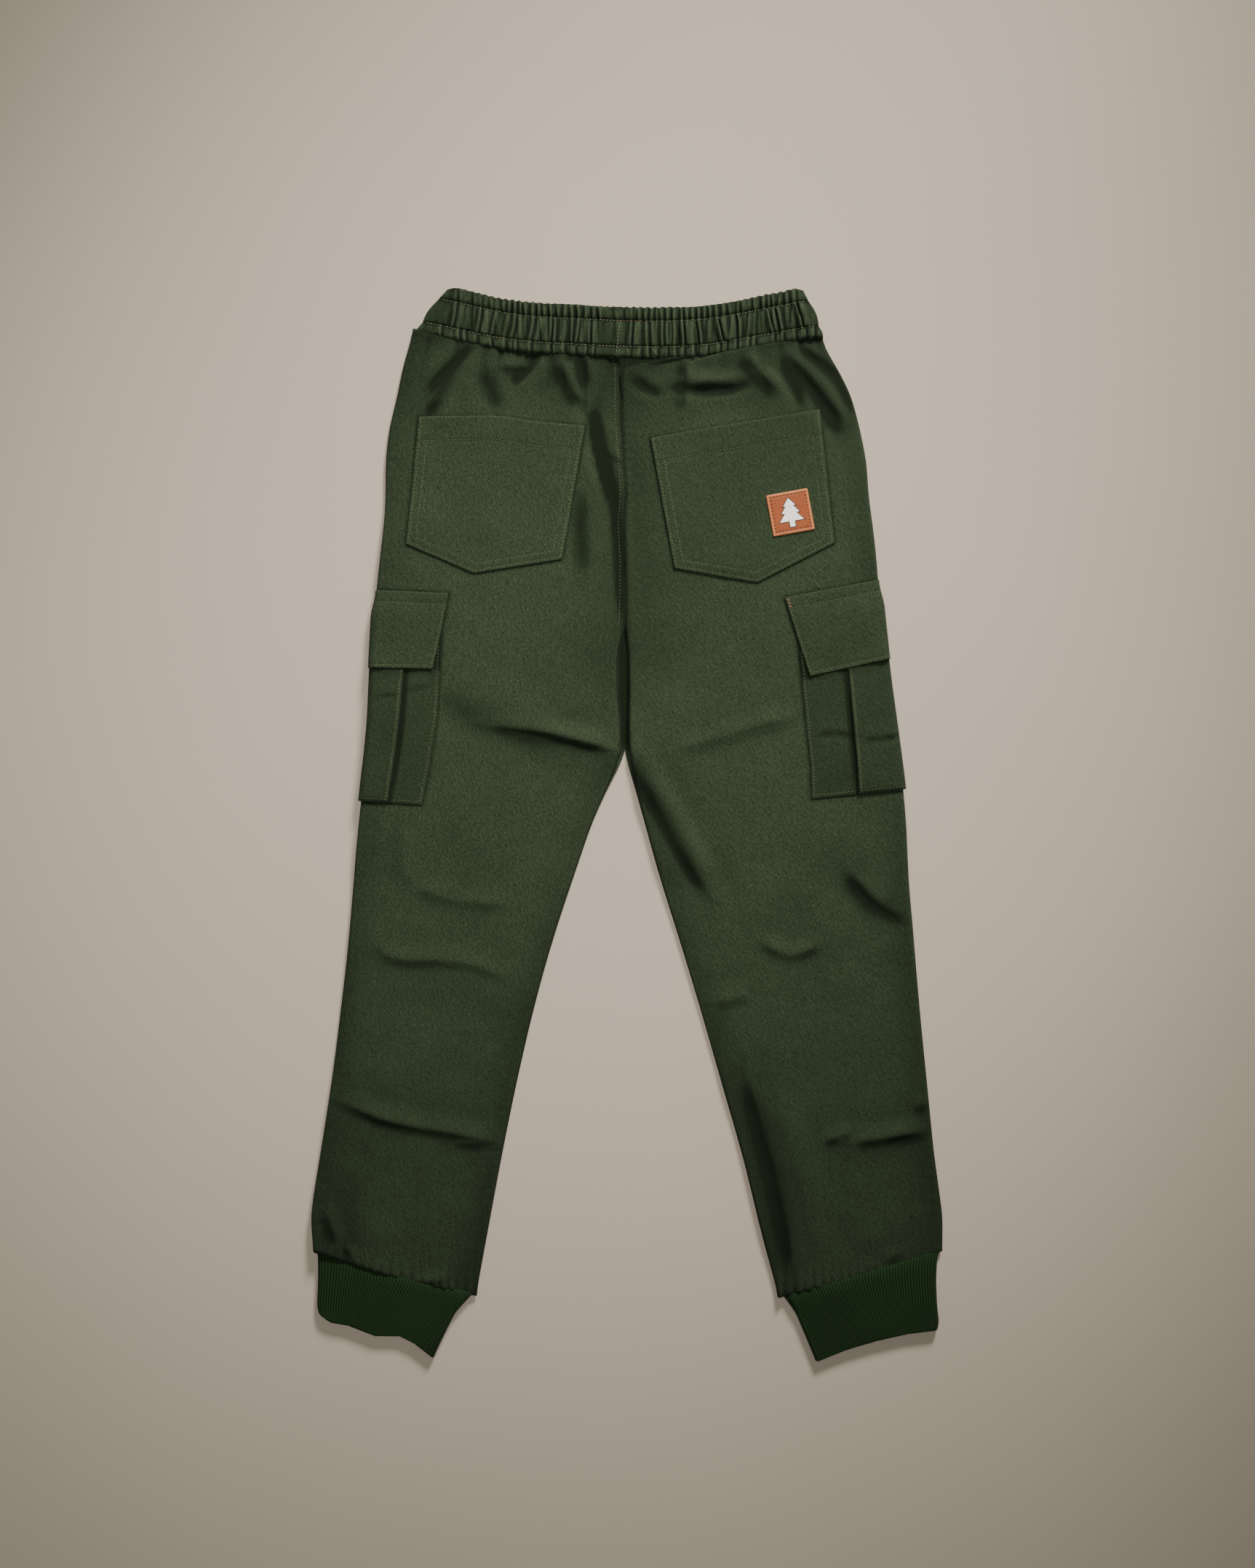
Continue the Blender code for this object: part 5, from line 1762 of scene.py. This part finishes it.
print("band and cuffs")
for name in ("back", "front"):
    band, fade_and_highlight, folds = band_grid(name)
    grids[f"waistband_{name}"] = band
    title, flip = f"waistband_cloth_{name}", name == "front"
    piece = shell(title, band, BAND_WALL, twill, BAND_LEAN, fade_and_highlight, folds, flip=flip, rim_steps=5)
    keep(piece, "twill", f"waistband_{name}")
for side in SIDES:
    cuff, rib = cuff_grid(side)
    lean = math.degrees(math.atan2(-1, CUFF_SPREAD * SIDES[side]))
    title, flip = f"cuff_knit_{side}", SIDES[side] > 0
    piece = shell(title, cuff, CUFF_WALL, rib_knit, lean, rib, tube=True, flip=flip, rim_steps=5)
    keep(piece, "rib_knit", f"cuff_{side}")


# ---- Making the stitches


def facing(line, up=True):
    """The line with its normals turned so that the first one points up, or down."""
    points, ups = line
    return (points, ups) if (ups[0][2] > 0) == up else (points, -ups)


def row_line(grid, share):
    """A line across a grid at a share of its rows."""
    place = share * (len(grid) - 1)
    low = int(place)
    part = place - low
    ups = normals_of(grid)
    return tuple(data[low] * (1 - part) + data[low + 1] * part for data in (grid, ups))


def column_line(grid, column):
    return grid[:, column], normals_of(grid)[:, column]


def sewn(name, lines, look, slot="twill", **options):
    keep(stitching(name, lines, look, **options), slot)


def cargo_pocket_lines(side):
    """Down both edges on the legs, along the bottom and up the pleat's two folds."""
    pocket = grids[f"cargo_pocket_{side}"]
    last = pocket.shape[1] - 1
    body_back, body_front = pocket[:, :BODY_COLUMNS], pocket[:, last - BODY_COLUMNS + 1 :]
    pleat_wrap = pocket[:, FOLD_TOP_COLUMN - 1 : last - FOLD_TOP_COLUMN + 2]
    return [
        facing(cut_line(inset_line(pocket, "first", 2.3), 18, -2)),
        facing(cut_line(inset_line(pocket, "last", 2.3), 18, -2), up=False),
        facing(cut_line(inset_line(body_back, "bottom", 2.8), 3, -1)),
        facing(cut_line(inset_line(body_front, "bottom", 2.8), 1, -3), up=False),
        facing(cut_line(inset_line(pleat_wrap, "bottom", 2.8), 1, -1)),
        facing(cut_line(column_line(pocket, FOLD_TOP_COLUMN), PLEAT_SEWN[side], -1)),
        facing(cut_line(column_line(pocket, last - FOLD_TOP_COLUMN), PLEAT_SEWN[side], -1), up=False),
    ]


def cargo_flap_lines(side):
    flap = grids[f"cargo_flap_{side}"]
    return [
        facing(cut_line(inset_line(flap, "top", 11.2), 2, -2)),
        facing(cut_line(inset_line(flap, "bottom", 2.6), 2, -2)),
        facing(cut_line(inset_line(flap, "first", 1.5), 10, -3)),
        facing(cut_line(inset_line(flap, "last", 1.5), 10, -3), up=False),
    ]


def back_pocket_lines(side):
    """Along the hem at the mouth, and two rows round the other edges."""
    patch = grids[f"back_pocket_{side}"]
    lines = [facing(cut_line(inset_line(patch, "top", POCKET_HEM), 2, -2))]
    for inset, start, trim in ((SEWN_EDGE, 1, 2), (SEWN_TURN, POCKET_HEM, 9)):
        lines.append(facing(cut_line(inset_line(patch, "first", inset), start, -trim)))
        lines.append(facing(cut_line(inset_line(patch, "last", inset), start, -trim)))
        lines.append(facing(cut_line(inset_line(patch, "bottom", inset), trim, -trim)))
    return lines


def band_lines(name):
    """The lines of pale stitches on a half of the waistband, and the stretch of tan ones."""
    band = grids[f"waistband_{name}"]
    up = name == "back"
    upper, lower = (facing(cut_line(row_line(band, share), 6, -6), up) for share in STITCH_SHARES)
    if not up:
        return [lower, upper], []
    x = upper[0][:, 0]
    before, after = x < TAN_STRETCH[0], x > TAN_STRETCH[1]
    lines = [lower] + [tuple(data[pick] for data in upper) for pick in (before, after)]
    join = int(np.argmin(np.abs(band[len(band) // 2, :, 0] - BAND_JOIN - 3)))
    below = band[round(STITCH_SHARES[0] * len(band)) :]
    lines.append(facing(cut_line(column_line(below, join), 1, -2)))
    return lines, [tuple(data[~(before | after)] for data in upper)]


def badge_lines():
    """The four rows of stitches from hole to hole."""
    low, high = hole_row[0], hole_row[-1]
    lines = []
    for place in (low, high):
        for start, end in (((low, place), (high, place)), ((place, low), (place, high))):
            line = np.array([badge_place(badge, *spot) for spot in np.linspace(start, end, 60)])
            lines.append((line, np.tile((0.0, 0.0, 1.0), (len(line), 1))))
    return lines


print("stitches")
for side in SIDES:
    sewn(f"cargo_pocket_stitches_{side}", cargo_pocket_lines(side), pale_thread)
    sewn(f"cargo_flap_stitches_{side}", cargo_flap_lines(side), pale_thread)
    sewn(f"back_pocket_stitches_{side}", back_pocket_lines(side), pale_thread)

seam_line = inset_line(grids["back_panel_left"], "last", TURNED_IN)
sewn("centre_back_stitches", [facing(cut_line(seam_line, 1, CENTRE_SEAM_SEWN))], pale_thread)

for name in ("back", "front"):
    lines, tan_lines = band_lines(name)
    if tan_lines:
        sewn("waistband_tan_stitches", tan_lines, tan_thread)
    sewn(f"waistband_stitches_{name}", lines, band_thread, lift=BAND_STITCH_LIFT)

hole_pitch = (hole_row[-1] - hole_row[0]) / (BADGE_HOLES - 1)
sewn("badge_stitches", badge_lines(), tan_thread, "leather", pitch=hole_pitch)

corner, corner_ups = facing(cut_line(inset_line(grids["cargo_flap_right"], "first", 2.2), 1.5, 11))
tack_lines = [(corner + np.array([shift, 0, 0.1]), corner_ups) for shift in TACK_SHIFTS]
sewn("cargo_flap_bar_tack", tack_lines, tan_thread, pitch=TACK_PITCH)

upper_kinds = ("back_panel", "cargo_pocket", "cargo_flap", "back_pocket")
upper_grids = [grids[f"{kind}_{side}"] for kind in upper_kinds for side in SIDES]
top_tree = tree_of_grids(*upper_grids, grids["waistband_back"])
for name, (spots, radius) in TAILS.items():
    spots = np.array(spots)
    spots[:, 2] += np.nan_to_num(heights(top_tree, spots[:, 0], spots[:, 1]), nan=LEG_HEIGHT) + radius
    keep(thread_tail(name, spots, radius, pale_thread), "twill")


# ---- Names of each side's back pocket, cargo pocket and flap pieces, which nothing uses


for side in SIDES:
    patch, pocket, flap = (f"{kind}_cloth_{side}" for kind in ("back_pocket", "cargo_pocket", "cargo_flap"))


# ---- Floor, light and camera


def build_floor():
    corners = [(-1, -1), (1, -1), (1, 1), (-1, 1)]
    mesh = bpy.data.meshes.new("floor")
    mesh.from_pydata([(FLOOR_HALF * x, FLOOR_HALF * y, FLOOR_LEVEL) for x, y in corners], [], [(0, 1, 2, 3)])
    mesh.materials.append(floor_material())
    floor = bpy.data.objects.new("floor", mesh)
    bpy.context.scene.collection.objects.link(floor)


def build_light(name, place, target, size, cone, power, tone):
    """A soft round pool of light, brightest in its middle."""
    data = bpy.data.lights.new(name, "SPOT")
    data.shadow_soft_size = size
    data.spot_size = math.radians(cone)
    data.spot_blend = 1.0
    data.energy = power
    data.color = tone
    lamp = bpy.data.objects.new(name, data)
    lamp.location = place
    lamp.rotation_mode = "QUATERNION"
    lamp.rotation_quaternion = (Vector(target) - Vector(place)).to_track_quat("-Z", "Y")
    bpy.context.scene.collection.objects.link(lamp)


def build_sky():
    world = bpy.data.worlds.new("studio")
    world.use_nodes = True
    background = world.node_tree.nodes["Background"]
    background.inputs["Color"].default_value = SKY_TONE
    background.inputs["Strength"].default_value = SKY_STRENGTH
    bpy.context.scene.world = world


def build_camera():
    data = bpy.data.cameras.new("camera")
    data.lens = CAMERA_LENS
    data.sensor_width = CAMERA_SENSOR
    camera = bpy.data.objects.new("camera", data)
    camera.location = CAMERA_PLACE
    bpy.context.scene.collection.objects.link(camera)
    bpy.context.scene.camera = camera


build_floor()
for light in LIGHTS:
    build_light(*light)
build_sky()
build_camera()
